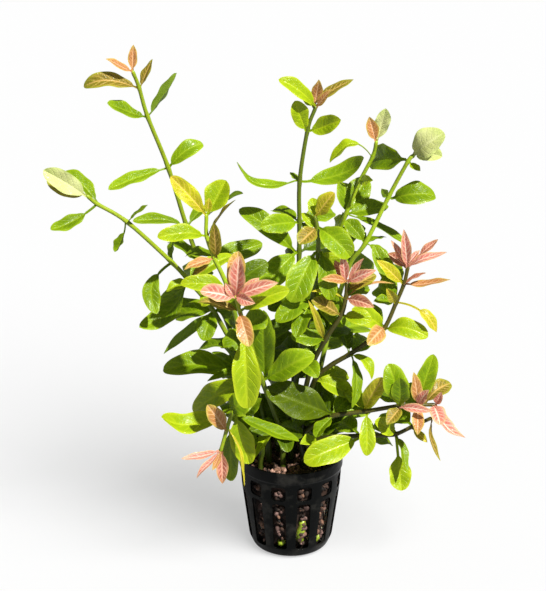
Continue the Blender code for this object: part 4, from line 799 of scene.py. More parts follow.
def medium_outline():
    """Outline of the growing medium inside the pot's wall, from the bottom's middle to the top's."""
    inset = POT_WALL + FIT_GAP
    outline = [(0.0, inset), (MEDIUM_FOOT_RADIUS, inset)]
    for radius, height in MEDIUM_SIDE:
        outline.append((radius - inset - MEDIUM_SIDE_GAP, max(height, inset + MEDIUM_SIDE_FOOT)))
    inwards, down = MEDIUM_BEVEL
    outline.append((MEDIUM_SHOULDER - inset - inwards, MEDIUM_EDGE_HEIGHT - down))
    outline.append((MEDIUM_TOP_RADIUS, MEDIUM_EDGE_HEIGHT))
    for share in MEDIUM_DOME_SHARES:
        outline.append((MEDIUM_TOP_RADIUS * share, MEDIUM_EDGE_HEIGHT + MEDIUM_DOME * (1.0 - share ** 2)))
    outline.append((0.0, MEDIUM_EDGE_HEIGHT + MEDIUM_DOME))
    return outline


def tree_of(mesh):
    """Search tree over a mesh's faces."""
    vertices = [vert.co / MM for vert in mesh.vertices]
    return BVHTree.FromPolygons(vertices, [polygon.vertices[:] for polygon in mesh.polygons])


def large_leaves():
    """The leaves that are pieces of their own: the largest ones, as (stem name, leaf number)."""
    sized = []
    for stem in SHOOTS:
        nodes = stem_nodes(stem)
        for number, leaf in enumerate(stem.leaves):
            length = (tip_point(stem, leaf) - nodes[leaf.node + 1]).length
            sized.append((leaf.width * length, stem.name, number))
    sized.sort(reverse=True)
    return {entry[1:] for entry in sized[:SEPARATE_LEAVES]}


def tip_depth(stem, leaf):
    """How deep the leaf's tip lies behind the plane y = 0."""
    return stem.path[leaf.node - 1][2] + leaf.depth


def nearest_first():
    """Every leaf as (stem, its number, leaf), those nearest the viewer first."""
    leaves = [(stem, number, leaf) for stem in SHOOTS for number, leaf in enumerate(stem.leaves)]
    return sorted(leaves, key=lambda entry: tip_depth(entry[0], entry[2]))


def clear_blades(meshes):
    """Each leaf as it lies: as picked, or moved until it clears the rest, or left off if it never does."""
    large = large_leaves()
    stem_trees = {name: tree_of(mesh) for name, mesh in meshes.items()}
    shifts = [0.0]
    for step in range(1, SHIFT_STEPS + 1):
        shifts += [SHIFT_STEP * step, -SHIFT_STEP * step]
    attempts = [
        Change(shift, lift, spin, scale)
        for scale in TRIED_SCALES
        for spin in TRIED_SPINS
        for shift in shifts
        for lift in TRIED_LIFTS
    ]
    placed = []
    blades = {}
    faces = {name: collar_faces(mesh) for name, mesh in meshes.items()}
    for stem, number, leaf in nearest_first():
        free_faces = faces[stem.name]
        is_large = (stem.name, number) in large
        face_index = None if is_large else nearest_face(free_faces, stem, leaf)
        for change in attempts:
            blade = Blade(stem, leaf, change, free_faces.get(face_index))
            if is_clear(blade, stem.name, stem_trees, placed):
                outer = blade.tree(0.0, FUSED_ROOT_SHARE)
                placed.append((stem.name, bool(blade.collar_face), blade.tree(), outer))
                blades[stem.name, number] = blade
                free_faces.pop(face_index, None)
                break
    return blades


def is_clear(blade, stem_name, stem_trees, placed):
    """Whether a leaf keeps its gap to the pot, the stems and the leaves that already have a place."""
    whole = blade.solid(TEST_MARGIN)
    hits = hits_pot_or_floor(whole)
    tree = BVHTree.FromBMesh(whole)
    whole.free()
    if hits:
        return False
    fused = bool(blade.collar_face)
    outer = blade.tree(TEST_MARGIN, FUSED_ROOT_SHARE)
    for name, other in stem_trees.items():
        if (outer if fused and name == stem_name else tree).overlap(other):
            return False
    for owner, other_fused, other, other_outer in placed:
        if fused and other_fused and owner == stem_name:
            if outer.overlap(other_outer):
                return False
        elif tree.overlap(other):
            return False
    return True


class Graph:
    """Short calls for building a shader's nodes."""

    def __init__(self, name):
        self.material = bpy.data.materials.new(name)
        self.material.use_nodes = True
        self.tree = self.material.node_tree
        self.tree.nodes.clear()

    def node(self, kind, inputs=(), **settings):
        """A new node with these settings, its inputs set to values and colours or linked to sockets."""
        made = self.tree.nodes.new(kind)
        for name, value in settings.items():
            setattr(made, name, value)
        for name, value in dict(inputs).items():
            if isinstance(value, bpy.types.NodeSocket):
                self.tree.links.new(value, made.inputs[name])
            else:
                made.inputs[name].default_value = (*value, 1.0) if isinstance(value, tuple) else value
        return made

    def math(self, operation, *values):
        """The outcome of a Math node."""
        return self.node("ShaderNodeMath", enumerate(values), operation=operation).outputs[0]

    def times(self, value, *factors):
        """The value multiplied by each factor."""
        for factor in factors:
            value = self.math("MULTIPLY", value, factor)
        return value

    def ramp(self, value, low, high, start=0.0, end=1.0):
        """The value rescaled smoothly from low..high to start..end."""
        inputs = {"Value": value, "From Min": low, "From Max": high, "To Min": start, "To Max": end}
        return self.node("ShaderNodeMapRange", inputs, interpolation_type="SMOOTHSTEP").outputs["Result"]

    def place(self):
        """Position on the object."""
        return self.node("ShaderNodeTexCoord").outputs["Object"]

    def noise(self, scale, detail=2.0, roughness=0.5):
        """Soft noise over the object, in cycles to a metre."""
        inputs = {"Vector": self.place(), "Scale": scale, "Detail": detail, "Roughness": roughness}
        return self.node("ShaderNodeTexNoise", inputs).outputs["Fac"]

    def cells(self, scale, feature):
        """The outputs of a texture of cells over the object."""
        inputs = {"Vector": self.place(), "Scale": scale}
        return self.node("ShaderNodeTexVoronoi", inputs, feature=feature).outputs

    def split(self, vector):
        """The first two parts of a vector."""
        parts = self.node("ShaderNodeSeparateXYZ", {0: vector}).outputs
        return parts[0], parts[1]

    def leaf_map(self):
        """Place on the leaf or stem: across or around it, and along it."""
        return self.split(self.node("ShaderNodeUVMap", uv_map="leaf").outputs[0])

    def mix(self, factor, first, second):
        """The first colour turning into the second as the factor rises."""
        return self.node("ShaderNodeMix", {0: factor, 6: first, 7: second}, data_type="RGBA").outputs[2]

    def bump(self, height, strength, distance):
        """A normal bent by a height."""
        inputs = {"Height": height, "Strength": strength, "Distance": distance}
        return self.node("ShaderNodeBump", inputs).outputs["Normal"]

    def blend(self, kind, *parts):
        """Shaders put together by a node that takes these inputs in turn."""
        return self.node(kind, enumerate(parts)).outputs[0]

    def principled(self, **values):
        """A Principled shader with these inputs, named with underscores."""
        inputs = {name.replace("_", " "): value for name, value in values.items()}
        return self.node("ShaderNodeBsdfPrincipled", inputs).outputs[0]

    def surface(self, shader):
        """The finished material, with this shader as its surface."""
        self.node("ShaderNodeOutputMaterial", {"Surface": shader})
        return self.material


# How each kind of leaf looks: patches between veins, body, tip, veins, edge (a pale margin, partly a painted
# rim highlight), underside, strengths
LeafLook = namedtuple("LeafLook", "deep light tip vein edge under veining patches")
LEAF_LOOKS = {
    "green": LeafLook((0.090, 0.178, 0.002), (0.22, 0.35, 0.004), (0.26, 0.40, 0.005),
                      (0.34, 0.47, 0.018), (0.30, 0.42, 0.010), (0.20, 0.31, 0.030), 0.42, 0.45),
    # shade: a darker green skin, painted shade for green leaves deep inside the plant
    "shade": LeafLook((0.042, 0.085, 0.001), (0.110, 0.185, 0.002), (0.14, 0.22, 0.003),
                      (0.16, 0.26, 0.008), (0.14, 0.22, 0.005), (0.10, 0.17, 0.018), 0.5, 0.45),
    # olive: a dark olive skin whose darkness is partly painted shade, worn by one big low front leaf
    "olive": LeafLook((0.042, 0.076, 0.001), (0.092, 0.142, 0.001), (0.115, 0.170, 0.002),
                      (0.14, 0.20, 0.006), (0.12, 0.18, 0.003), (0.09, 0.14, 0.012), 0.45, 0.50),
    "fresh": LeafLook((0.13, 0.25, 0.003), (0.27, 0.43, 0.005), (0.32, 0.47, 0.007),
                      (0.42, 0.56, 0.026), (0.38, 0.51, 0.016), (0.26, 0.38, 0.040), 0.42, 0.45),
    "lime": LeafLook((0.20, 0.33, 0.004), (0.40, 0.54, 0.006), (0.42, 0.53, 0.008),
                     (0.56, 0.66, 0.030), (0.50, 0.60, 0.020), (0.32, 0.43, 0.05), 0.40, 0.40),
    "yellow": LeafLook((0.34, 0.30, 0.008), (0.60, 0.62, 0.012), (0.66, 0.56, 0.03),
                       (0.84, 0.60, 0.12), (0.50, 0.60, 0.02), (0.48, 0.48, 0.08), 0.8, 0.6),
    "pale": LeafLook((0.50, 0.55, 0.17), (0.76, 0.81, 0.38), (0.56, 0.68, 0.18),
                     (0.84, 0.86, 0.48), (0.58, 0.68, 0.22), (0.68, 0.72, 0.34), 0.3, 0.15),
    "bronze": LeafLook((0.15, 0.12, 0.010), (0.36, 0.29, 0.022), (0.30, 0.36, 0.012),
                       (0.66, 0.42, 0.13), (0.34, 0.38, 0.018), (0.32, 0.27, 0.05), 0.8, 0.8),
    "orange": LeafLook((0.44, 0.16, 0.045), (0.64, 0.34, 0.11), (0.56, 0.46, 0.05),
                       (0.90, 0.54, 0.32), (0.58, 0.50, 0.06), (0.58, 0.38, 0.14), 0.85, 0.75),
    "pink": LeafLook((0.58, 0.13, 0.10), (0.86, 0.40, 0.31), (0.84, 0.48, 0.24),
                     (0.99, 0.70, 0.58), (0.78, 0.52, 0.20), (0.82, 0.46, 0.34), 1.0, 0.85),
    "rose": LeafLook((0.34, 0.085, 0.050), (0.62, 0.25, 0.18), (0.58, 0.30, 0.10),
                     (0.85, 0.50, 0.36), (0.54, 0.36, 0.10), (0.60, 0.30, 0.20), 0.95, 0.85),
}
# Young skin, old skin and flecks of each kind of stem; the old skin's darkness is partly painted shade low in
# the plant
STEM_LOOKS = {
    "green": ((0.27, 0.37, 0.010), (0.045, 0.070, 0.004), (0.12, 0.14, 0.010)),
    "lime": ((0.34, 0.48, 0.015), (0.050, 0.085, 0.004), (0.16, 0.19, 0.012)),
    "deep": ((0.125, 0.180, 0.006), (0.028, 0.045, 0.003), (0.065, 0.070, 0.006)),
    "bronze": ((0.080, 0.075, 0.008), (0.016, 0.026, 0.002), (0.070, 0.035, 0.012)),
}
# The skin of each stem that isn't plain green
STEM_KINDS = {
    "tall_centre_stem": "deep", "centre_stem": "deep", "right_stem": "lime", "right_back_stem": "lime",
    "yellow_tip_stem": "lime", "right_pink_stem": "bronze", "centre_pink_stem": "bronze",
    "low_right_stem": "bronze", "lower_right_stem": "bronze",
}
# Leaves whose colour differs from their kind's
OWN_LOOKS = {
    "tall_left_leaf_3": "bronze", "tall_left_leaf_4": "bronze", "tall_left_leaf_7": "fresh",
    "tall_left_leaf_8": "fresh", "tall_centre_leaf_8": "fresh", "tall_centre_leaf_9": "fresh",
    "tall_centre_leaf_12": "fresh", "tall_centre_leaf_15": "fresh", "centre_leaf_4": "fresh",
    "centre_leaf_6": "fresh", "front_rosette_leaf_13": "fresh", "low_right_leaf_6": "fresh",
    # low_right_leaf_15 wears olive, whose darkness is partly painted shade
    "low_right_leaf_9": "fresh", "low_right_leaf_15": "olive",
}


def leaf_material(kind, look):
    """Leaf skin: pale branching veins with dark patches between, a light edge that is partly a painted rim
    highlight, paler underside.
    """
    graph = Graph(f"{kind}_leaf_skin")
    across, along = graph.leaf_map()
    side = graph.math("SUBTRACT", across, 0.5)
    off = graph.times(graph.math("ABSOLUTE", side), 2.0)
    wander = graph.math("SUBTRACT", graph.noise(260.0), 0.5)
    slant = graph.times(graph.math("POWER", off, VEIN_BOW), VEIN_SLANT)
    phase = graph.math("SUBTRACT", along, slant)
    phase = graph.math("MULTIPLY_ADD", phase, VEIN_PAIRS, graph.times(wander, 0.5))
    phase = graph.math("ADD", phase, graph.times(graph.math("SIGN", side), VEIN_OFFSET))
    from_vein = graph.math("SUBTRACT", graph.math("FRACT", phase), 0.5)
    near = graph.times(graph.math("ABSOLUTE", from_vein), 2.0)
    line = graph.times(graph.ramp(near, 0.80, 0.98), graph.ramp(off, 0.72, 1.0, 1.0, 0.0))
    ribs = graph.math("MAXIMUM", line, graph.ramp(off, 0.05, 0.15, 1.0, 0.0))
    net = graph.ramp(graph.cells(780.0, "DISTANCE_TO_EDGE")["Distance"], 0.02, 0.16, 1.0, 0.0)
    veins = graph.times(graph.math("MAXIMUM", ribs, graph.times(net, 0.20)), look.veining)
    mottle = graph.times(graph.ramp(graph.noise(95.0, 3.0), 0.30, 0.66), 0.6)
    body = graph.mix(mottle, look.light, look.deep)
    body = graph.mix(graph.ramp(along, 0.62, 1.0, 0.0, 0.85), body, look.tip)
    band = graph.times(graph.ramp(off, 0.10, 0.26), graph.ramp(off, 0.46, 0.84, 1.0, 0.0))
    between = graph.ramp(near, 0.40, 0.78, look.patches, 0.0)
    patch = graph.times(band, between, graph.ramp(along, 0.75, 0.97, 1.0, 0.2))
    top = graph.mix(patch, body, look.deep)
    # The light edge: partly the margin's own colour, partly a painted highlight along the rim
    top = graph.mix(graph.ramp(off, 0.70, 0.98, 0.0, 0.8), top, look.edge)
    top = graph.mix(veins, top, look.vein)
    back = graph.node("ShaderNodeNewGeometry").outputs["Backfacing"]
    colour = graph.mix(graph.times(back, 0.7), top, look.under)
    grit = graph.times(graph.noise(1100.0), 0.30)
    height = graph.math("MULTIPLY_ADD", ribs, -1.0, graph.math("MULTIPLY_ADD", net, -0.35, grit))
    normal = graph.bump(height, 0.6, 0.00025)
    gloss = graph.ramp(graph.noise(420.0), 0.3, 0.7, 0.24, 0.40)
    skin = graph.principled(Base_Color=colour, Roughness=gloss, Normal=normal, Specular_IOR_Level=0.33)
    glow = graph.node("ShaderNodeBsdfTranslucent", {"Color": graph.mix(0.35, colour, look.light)})
    return graph.surface(graph.blend("ShaderNodeMixShader", 0.26, skin, glow.outputs[0]))


def stem_material(name, young, old_and_shaded, fleck_colour):
    """Stem skin: darker low down, partly as older skin and partly as painted shade, flecked, faintly ribbed
    along its length.
    """
    graph = Graph(name)
    around, along = graph.leaf_map()
    wander = graph.math("SUBTRACT", graph.noise(120.0, 3.0), 0.5)
    # Darker towards the root: partly older skin, partly painted shade
    age_and_shade = graph.math("ADD", along, graph.times(wander, 0.5))
    colour = graph.mix(graph.ramp(age_and_shade, 0.15, 0.75), old_and_shaded, young)
    ribs = graph.math("SINE", graph.times(around, 56.0))
    flecks = graph.ramp(graph.noise(900.0, 3.0), 0.52, 0.66, 0.0, 0.35)
    colour = graph.mix(flecks, colour, fleck_colour)
    height = graph.math("MULTIPLY_ADD", ribs, 0.4, graph.noise(700.0, 3.0))
    rough = graph.ramp(graph.noise(300.0), 0.3, 0.7, 0.34, 0.5)
    skin = graph.principled(Base_Color=colour, Roughness=rough, Normal=graph.bump(height, 0.35, 0.00012),
                            Subsurface_Weight=0.12, Subsurface_Scale=0.0012)
    return graph.surface(skin)


def pot_material():
    """Black moulded plastic with faint flow marks, dust, and lighter patches of dried water that double as a
    painted sheen.
    """
    graph = Graph("black_pot_plastic")
    # Lighter patches: dried water, partly a painted sheen that stands in for reflections
    film_and_sheen = graph.ramp(graph.noise(90.0, 4.0, 0.6), 0.50, 0.68, 0.0, 0.8)
    colour = graph.mix(film_and_sheen, (0.0016, 0.002, 0.002), (0.021, 0.0205, 0.0185))
    dust = graph.ramp(graph.noise(2400.0), 0.66, 0.76, 0.0, 0.14)
    colour = graph.mix(dust, colour, (0.07, 0.062, 0.05))
    smear = graph.ramp(graph.noise(600.0, 3.0), 0.3, 0.7, 0.08, 0.17)
    rough = graph.math("MULTIPLY_ADD", film_and_sheen, 0.16, smear)
    height = graph.math("ADD", graph.noise(110.0), graph.times(graph.noise(1800.0), 0.12))
    skin = graph.principled(Base_Color=colour, Roughness=rough, Specular_IOR_Level=0.12,
                            Normal=graph.bump(height, 0.5, 0.0009))
    return graph.surface(skin)


def granule_material(name, dark, light, dust_colour):
    """Porous granules and fibre: each grain its own brown, with pale dust on it."""
    graph = Graph(name)
    tint = graph.split(graph.cells(330.0, "F1")["Color"])[0]
    colour = graph.mix(graph.ramp(tint, 0.1, 0.9), dark, light)
    pores = graph.noise(1700.0, 4.0, 0.65)
    colour = graph.mix(graph.ramp(pores, 0.56, 0.75, 0.0, 0.6), colour, dust_colour)
    skin = graph.principled(Base_Color=colour, Roughness=graph.ramp(pores, 0.3, 0.7, 0.55, 0.9),
                            Normal=graph.bump(pores, 0.7, 0.0004), Specular_IOR_Level=0.35)
    return graph.surface(skin)


def flesh_material(name, patch_scale, dark, light, roughness, softness, grit_scale):
    """The soft flesh of roots and young shoots."""
    graph = Graph(name)
    colour = graph.mix(graph.ramp(graph.noise(patch_scale, 3.0), 0.3, 0.7), dark, light)
    skin = graph.principled(Base_Color=colour, Roughness=roughness, Subsurface_Weight=softness,
                            Subsurface_Scale=0.001, Normal=graph.bump(graph.noise(grit_scale), 0.3, 0.0001))
    return graph.surface(skin)


def new_piece(name, solid, looks, smooth=True):
    """A new object from a bmesh in metres, with its materials."""
    mesh = bpy.data.meshes.new(name)
    solid.to_mesh(mesh)
    solid.free()
    for look in looks:
        mesh.materials.append(look)
    if smooth:
        mesh.shade_smooth()
    return link_new(name, mesh)


def leaf_map(sheet):
    """The bmesh's leaf map, which holds the place on a leaf or stem."""
    return sheet.loops.layers.uv.get("leaf") or sheet.loops.layers.uv.new("leaf")


def add_leaf(sheet, blade, root, look_index, draw, extra_fold):
    """One fine leaf, drawn into a bmesh: a thin curved sheet from inside the stem to its tip."""
    # u runs across the leaf from -1 to 1, a is its size, and s runs along the blade from 0 to 1
    uv = leaf_map(sheet)
    columns = 2 * LEAF_HALF_COLUMNS + 1
    wave_count = draw.uniform(*EDGE_WAVES)
    wave_start = draw.uniform(0.0, math.tau)
    twist = math.radians(draw.uniform(-LEAF_TWIST, LEAF_TWIST))
    recurve = blade.length * draw.uniform(*RECURVE)
    hook = blade.length * draw.uniform(*HOOK)
    curl = draw.uniform(*CURL)
    rows = []
    for index in range(-1, LEAF_ROWS):
        if index < 0:
            centre, t = root, 0.0
        else:
            t = 1.0 - (1.0 - index / LEAF_ROWS) ** TIP_CROWDING
            centre = blade.centre(t)
        tangent, normal = blade.frame_at(t)
        side = tangent.cross(normal)
        s = max(0.0, (t - blade.petiole) / (1.0 - blade.petiole))
        turned = Matrix.Rotation(twist * s, 3, tangent)
        side, normal = turned @ side, turned @ normal
        half_width = max(fine_width(blade, s), LEAST_WIDTH * (1.0 - s)) if s > 0.0 else blade.width_at(t)
        stalk = 1.0 - min(1.0, s / STALK_SHARE)
        fold = (blade.fold + extra_fold) * (1.0 - stalk) + STALK_FOLD * stalk
        centre = centre + normal * (recurve * math.sin(math.tau * s) + hook * math.sin(math.pi * s ** 2.2))
        row = []
        for column in range(columns):
            u = (column - LEAF_HALF_COLUMNS) / LEAF_HALF_COLUMNS
            a = abs(u)
            rise = half_width * (fold * a ** 0.9 + curl * a * a * (0.3 + s) - EDGE_ROLL * a ** 5)
            edge = blade.half_width * EDGE_WAVE * a ** 2.5 * min(1.0, 5.0 * s * (1.0 - s))
            rise += edge * math.sin(wave_start + math.tau * wave_count * s + (1.5 if u > 0 else 0.0))
            offset = VEIN_OFFSET if u > 0 else -VEIN_OFFSET
            veined = math.cos(math.tau * (VEIN_PAIRS * (s - VEIN_SLANT * a ** VEIN_BOW) + offset))
            rise -= QUILT_HEIGHT * veined * a * (1.0 - a) * 2.0 * min(1.0, half_width / 4.0) * (s > 0.0)
            reach = half_width * u * (1.0 + 0.05 * math.sin(11.0 * s + wave_start + u) * a)
            row.append((sheet.verts.new((centre + side * reach + normal * rise) * MM), (0.5 + 0.5 * u, s)))
        rows.append(row)
    tip = (sheet.verts.new(blade.centre(1.0) * MM), (0.5, 1.0))
    for corners in quads(rows, False):
        add_face(sheet, corners, uv, look_index)
    for column in range(columns - 1):
        add_face(sheet, (rows[-1][column], rows[-1][column + 1], tip), uv, look_index)


def fine_width(blade, s):
    """Half of the fine leaf's width at a share of its blade, pointed at both ends."""
    point = BROAD_POINT if blade.tip_taper == BROAD_TIP_TAPER else NARROW_POINT
    widest = BASE_POINT / (BASE_POINT + point)
    return blade.half_width * (s / widest) ** BASE_POINT * ((1.0 - s) / (1.0 - widest)) ** point


def add_face(sheet, corners, uv, look_index):
    """A face from (vertex, map place) corners."""
    face = sheet.faces.new([vert for vert, place in corners])
    face.material_index = look_index
    face.smooth = True
    for loop, (vert, place) in zip(face.loops, corners):
        loop[uv].uv = place


def add_tube(sheet, points, sides, look_index):
    """A closed round tube through (point, radius) pairs in mm, with a map round and along it."""
    uv = leaf_map(sheet)
    rings = []
    across = None
    for index, (point, radius) in enumerate(points):
        ahead = points[min(index + 1, len(points) - 1)][0]
        behind = points[max(index - 1, 0)][0]
        along = (ahead - behind).normalized()
        if across is None:
            across = along.orthogonal()
        across = (across - along * across.dot(along)).normalized()
        third = along.cross(across)
        share = index / (len(points) - 1)
        ring = []
        for place in range(sides + 1):
            angle = math.tau * place / sides
            if place < sides:
                spot = point + (across * math.cos(angle) + third * math.sin(angle)) * radius
                vert = sheet.verts.new(spot * MM)
            else:
                vert = ring[0][0]
            ring.append((vert, (place / sides, share)))
        rings.append(ring)
    for corners in quads(rings, False):
        add_face(sheet, corners, uv, look_index)
    for ring, turn in ((rings[0], -1), (rings[-1], 1)):
        add_face(sheet, ring[:sides][::turn], uv, look_index)


def fine_stem_points(stem):
    """The stem's smooth path with swollen nodes, as (point, radius) pairs."""
    nodes = stem_nodes(stem)
    coarse = smooth_path(nodes)
    radii = [stem_radius(index / (len(coarse) - 1)) for index in range(len(coarse))]
    points = []
    for index, span in enumerate(spans(coarse)):
        for step in range(STEM_STEPS):
            t = step / STEM_STEPS
            spot = catmull(*span, t)
            radius = radii[index] + (radii[index + 1] - radii[index]) * t
            near = min((spot - node).length for node in nodes[2:])
            swell = 1.0 + (NODE_SWELL - 1.0) * math.exp(-(near / SWELL_LENGTH) ** 2)
            points.append((spot, FINE_STEM_SHARE * radius * swell))
    last = coarse[-1]
    along = (last - coarse[-2]).normalized()
    for reach, share in STEM_END:
        points.append((last + along * reach * NODE_HALF_LENGTH, radii[-1] * share))
    return points


def look_of(leaf, blade):
    """The kind of skin a leaf wears: green leaves deep inside the plant wear the dark shade skin, a painted
    shade.
    """
    spot = blade.centre(INNER_SHARE)
    inside = math.hypot(spot.x, spot.y) < INNER_RADIUS and spot.z < INNER_TOP
    return "shade" if leaf.kind == "green" and inside else leaf.kind


def dress_shoots(looks, kinds, stem_looks):
    """Fine stems with their small leaves, and a fine piece for each large leaf."""
    meshes = {stem.name: tube_mesh(stem_points(stem), stem.name) for stem in SHOOTS}
    blades = clear_blades(meshes)
    for mesh in meshes.values():
        bpy.data.meshes.remove(mesh)
    for shoot_number, stem in enumerate(SHOOTS):
        sheet = bmesh.new()
        add_tube(sheet, fine_stem_points(stem), STEM_SIDES, 0)
        nodes = stem_nodes(stem)
        for number, leaf in enumerate(stem.leaves):
            if (stem.name, number) not in blades:
                continue
            blade = blades[stem.name, number]
            draw = random.Random(SEEDS_PER_SHOOT * shoot_number + number)
            root = nodes[leaf.node + 1]
            node = f"{stem.name[:-5]}_leaf_{number + 1}"
            look = OWN_LOOKS.get(node) or look_of(leaf, blade)
            extra_fold = TIP_LEAF_FOLD if look in ("pink", "rose", "pale") else EXTRA_FOLD
            if blade.collar_face:
                add_leaf(sheet, blade, root, 1 + kinds.index(look), draw, extra_fold)
                continue
            single = bmesh.new()
            add_leaf(single, blade, root, 0, draw, extra_fold)
            piece = new_piece(f"fine_{node}", single, [looks[look]])
            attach(piece, "root")
            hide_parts(node)
        stem_look = stem_looks[STEM_KINDS.get(stem.name, "green")]
        piece = new_piece(f"fine_{stem.name}", sheet, [stem_look] + [looks[kind] for kind in kinds])
        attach(piece, "root")
        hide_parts(stem.name)


def on_circle(radius, angle, height):
    """The point at this radius, angle and height round the pot's axis."""
    return Vector((radius * math.cos(angle), radius * math.sin(angle), height))


def turned_shell(outline, sides):
    """A turned solid from an outline of (radius, height) in mm."""
    solid = bmesh.new()
    rings = []
    for radius, height in outline:
        if radius < ON_AXIS:
            rings.append([solid.verts.new((0.0, 0.0, height * MM))] * sides)
            continue
        rings.append([
            solid.verts.new((radius * MM * math.cos(math.tau * side / sides),
                             radius * MM * math.sin(math.tau * side / sides), height * MM))
            for side in range(sides)
        ])
    for corners in quads(rings):
        corners = list(dict.fromkeys(corners))
        if len(corners) > 2:
            solid.faces.new(corners)
    bmesh.ops.recalc_face_normals(solid, faces=solid.faces)
    return solid


def slot_cutter(cutters, angle, middle, half_width, half_height, depth, base=False):
    """A round cornered bar that cuts one slot, added to the bmesh of cutters."""
    outline = []
    for corner in range(4):
        sign_x = 1 if corner in (0, 3) else -1
        sign_y = 1 if corner < 2 else -1
        for step in range(SLOT_CORNER_STEPS + 1):
            turn = math.radians(90 * corner + 90 / SLOT_CORNER_STEPS * step)
            outline.append((sign_x * (half_width - SLOT_CORNER) + SLOT_CORNER * math.cos(turn),
                            sign_y * (half_height - SLOT_CORNER) + SLOT_CORNER * math.sin(turn)))
    outward = on_circle(1.0, angle, 0.0)
    sideways = Vector((-math.sin(angle), math.cos(angle), 0.0))
    height_way, cut_way = (outward, UP) if base else (UP, outward)
    rows = []
    for reach in (-depth, depth):
        rows.append([cutters.verts.new((middle + sideways * x + height_way * y + cut_way * reach) * MM)
                     for x, y in outline])
    cutters.faces.new(rows[0])
    cutters.faces.new(reversed(rows[1]))
    for index in range(len(outline)):
        after = (index + 1) % len(outline)
        cutters.faces.new((rows[0][index], rows[1][index], rows[1][after], rows[0][after]))


def dress_pot():
    """The fine pot: a smooth turned shell with round cornered slots."""
    inner = [(radius - POT_WALL, height) for radius, height in POT_OUTLINE if height > POT_FLOOR_TOP]
    outer_curve = rounded(list(POT_OUTLINE) + [(0.0, 0.0)])
    out, up = POT_FOOT_EASE
    foot = [(0.0, POT_WALL), (POT_FOOT_RADIUS, POT_WALL), (POT_FOOT_RADIUS + out, POT_WALL + up)]
    inner_curve = rounded(foot + inner[::-1])
    inner_lip = (POT_RIM_RADIUS - POT_WALL + POT_LIP_EASE, POT_HEIGHT)
    lip = [inner_lip, (POT_RIM_RADIUS - POT_LIP_EASE, POT_HEIGHT)]
    shell = turned_shell(outer_curve[::-1] + lip[::-1] + inner_curve[::-1], POT_SIDES)
    pot = new_piece("fine_net_pot", shell, [pot_material()])
    cutters = bmesh.new()
    column = math.tau / POT_COLUMNS
    for index in range(POT_COLUMNS):
        angle = (index + 0.5) * column
        for row in (UPPER_SLOT_ROW, LOWER_SLOT_ROW):
            (top_radius, top), (low_radius, low) = POT_OUTLINE[row], POT_OUTLINE[row + 1]
            radius = 0.5 * (top_radius + low_radius)
            middle = on_circle(radius, angle, 0.5 * (top + low))
            slot_cutter(cutters, angle, middle, radius * SLOT_ANGLE / 2, 0.5 * (top - low), WALL_CUT_DEPTH)
        if index % 2:
            far, close = POT_OUTLINE[BASE_SLOT_ROW][0], POT_OUTLINE[BASE_SLOT_ROW + 1][0]
            middle = on_circle(1.0, angle, 0.0) * (0.5 * (far + close))
            half_width = 0.5 * (far + close) * SLOT_ANGLE / 2 + BASE_SLOT_SPREAD
            slot_cutter(cutters, angle, middle, half_width, 0.5 * (far - close), BASE_CUT_DEPTH, True)
    bmesh.ops.recalc_face_normals(cutters, faces=cutters.faces)
    cutter = new_piece("slot_cutters", cutters, [], False)
    cut = pot.modifiers.new("slots", "BOOLEAN")
    cut.solver = "EXACT"
    cut.object = cutter
    mesh = mesh_as_seen(pot)
    pot.modifiers.clear()
    pot.data = mesh
    bpy.data.objects.remove(cutter)
    mesh.shade_smooth()
    mesh.set_sharp_from_angle(angle=POT_SMOOTH_ANGLE)
    edge = pot.modifiers.new("edges", "BEVEL")
    edge.width = POT_EDGE * MM
    edge.segments = 2
    edge.limit_method = "ANGLE"
    edge.angle_limit = POT_EDGE_ANGLE
    edge.use_clamp_overlap = True
    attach(pot, "root")
    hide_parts("net_pot")


def rounded(outline):
    """The outline with its corners eased, for a smooth turned skin."""
    eased = [outline[0]]
    for before, corner, after in zip(outline, outline[1:], outline[2:]):
        b, c, a = Vector(before), Vector(corner), Vector(after)
        cut = min(CORNER_EASE, CORNER_SHARE * (b - c).length, CORNER_SHARE * (a - c).length)
        start = c + (b - c).normalized() * cut
        end = c + (a - c).normalized() * cut
        for step in range(CORNER_STEPS + 1):
            t = step / CORNER_STEPS
            eased.append(tuple(start * (1 - t) ** 2 + c * 2 * t * (1 - t) + end * t * t))
    eased.append(outline[-1])
    return eased


def add_grain(sheet, centre, size, draw, look_index):
    """One irregular granule."""
    angle = draw.uniform(0.0, math.tau)
    axis = Vector((draw.random(), draw.random(), draw.random() + 0.1))
    stretch = [draw.uniform(*limits) for limits in GRAIN_STRETCH] + [1.0]
    place = Matrix.Translation(centre * MM) @ Matrix.Rotation(angle, 4, axis) @ Matrix.Diagonal(stretch)
    made = bmesh.ops.create_icosphere(sheet, subdivisions=2, radius=size * MM, matrix=place)
    shift = Vector((draw.uniform(0.0, 50.0), draw.uniform(0.0, 50.0), 0.0))
    for vert in made["verts"]:
        out = vert.co - centre * MM
        bump = noise.noise(vert.co / (GRAIN_LUMP_SIZE * MM) + shift)
        vert.co = centre * MM + out * (1.0 + GRAIN_LUMP * bump)
    for face in {face for vert in made["verts"] for face in vert.link_faces}:
        face.material_index = look_index
        face.smooth = True


def make_plug():
    """The medium's own body, a little below its top and a little uneven there, in a near-black skin that is
    painted shade.
    """
    outline = []
    for radius, height in medium_outline():
        drop = PLUG_DROP if height > PLUG_TOP_FROM else 0.0
        outline.append((max(0.0, radius - PLUG_INSET), height - drop))
    plug = turned_shell(rounded(outline), MEDIUM_FINE_SIDES)
    for vert in plug.verts:
        if vert.co.z > (MEDIUM_EDGE_HEIGHT - PLUG_WAVE_DEPTH) * MM:
            vert.co.z += PLUG_WAVE * MM * noise.noise(vert.co / (PLUG_WAVE_SIZE * MM))
    for face in plug.faces:
        face.material_index = DARK_SHADED
    return plug


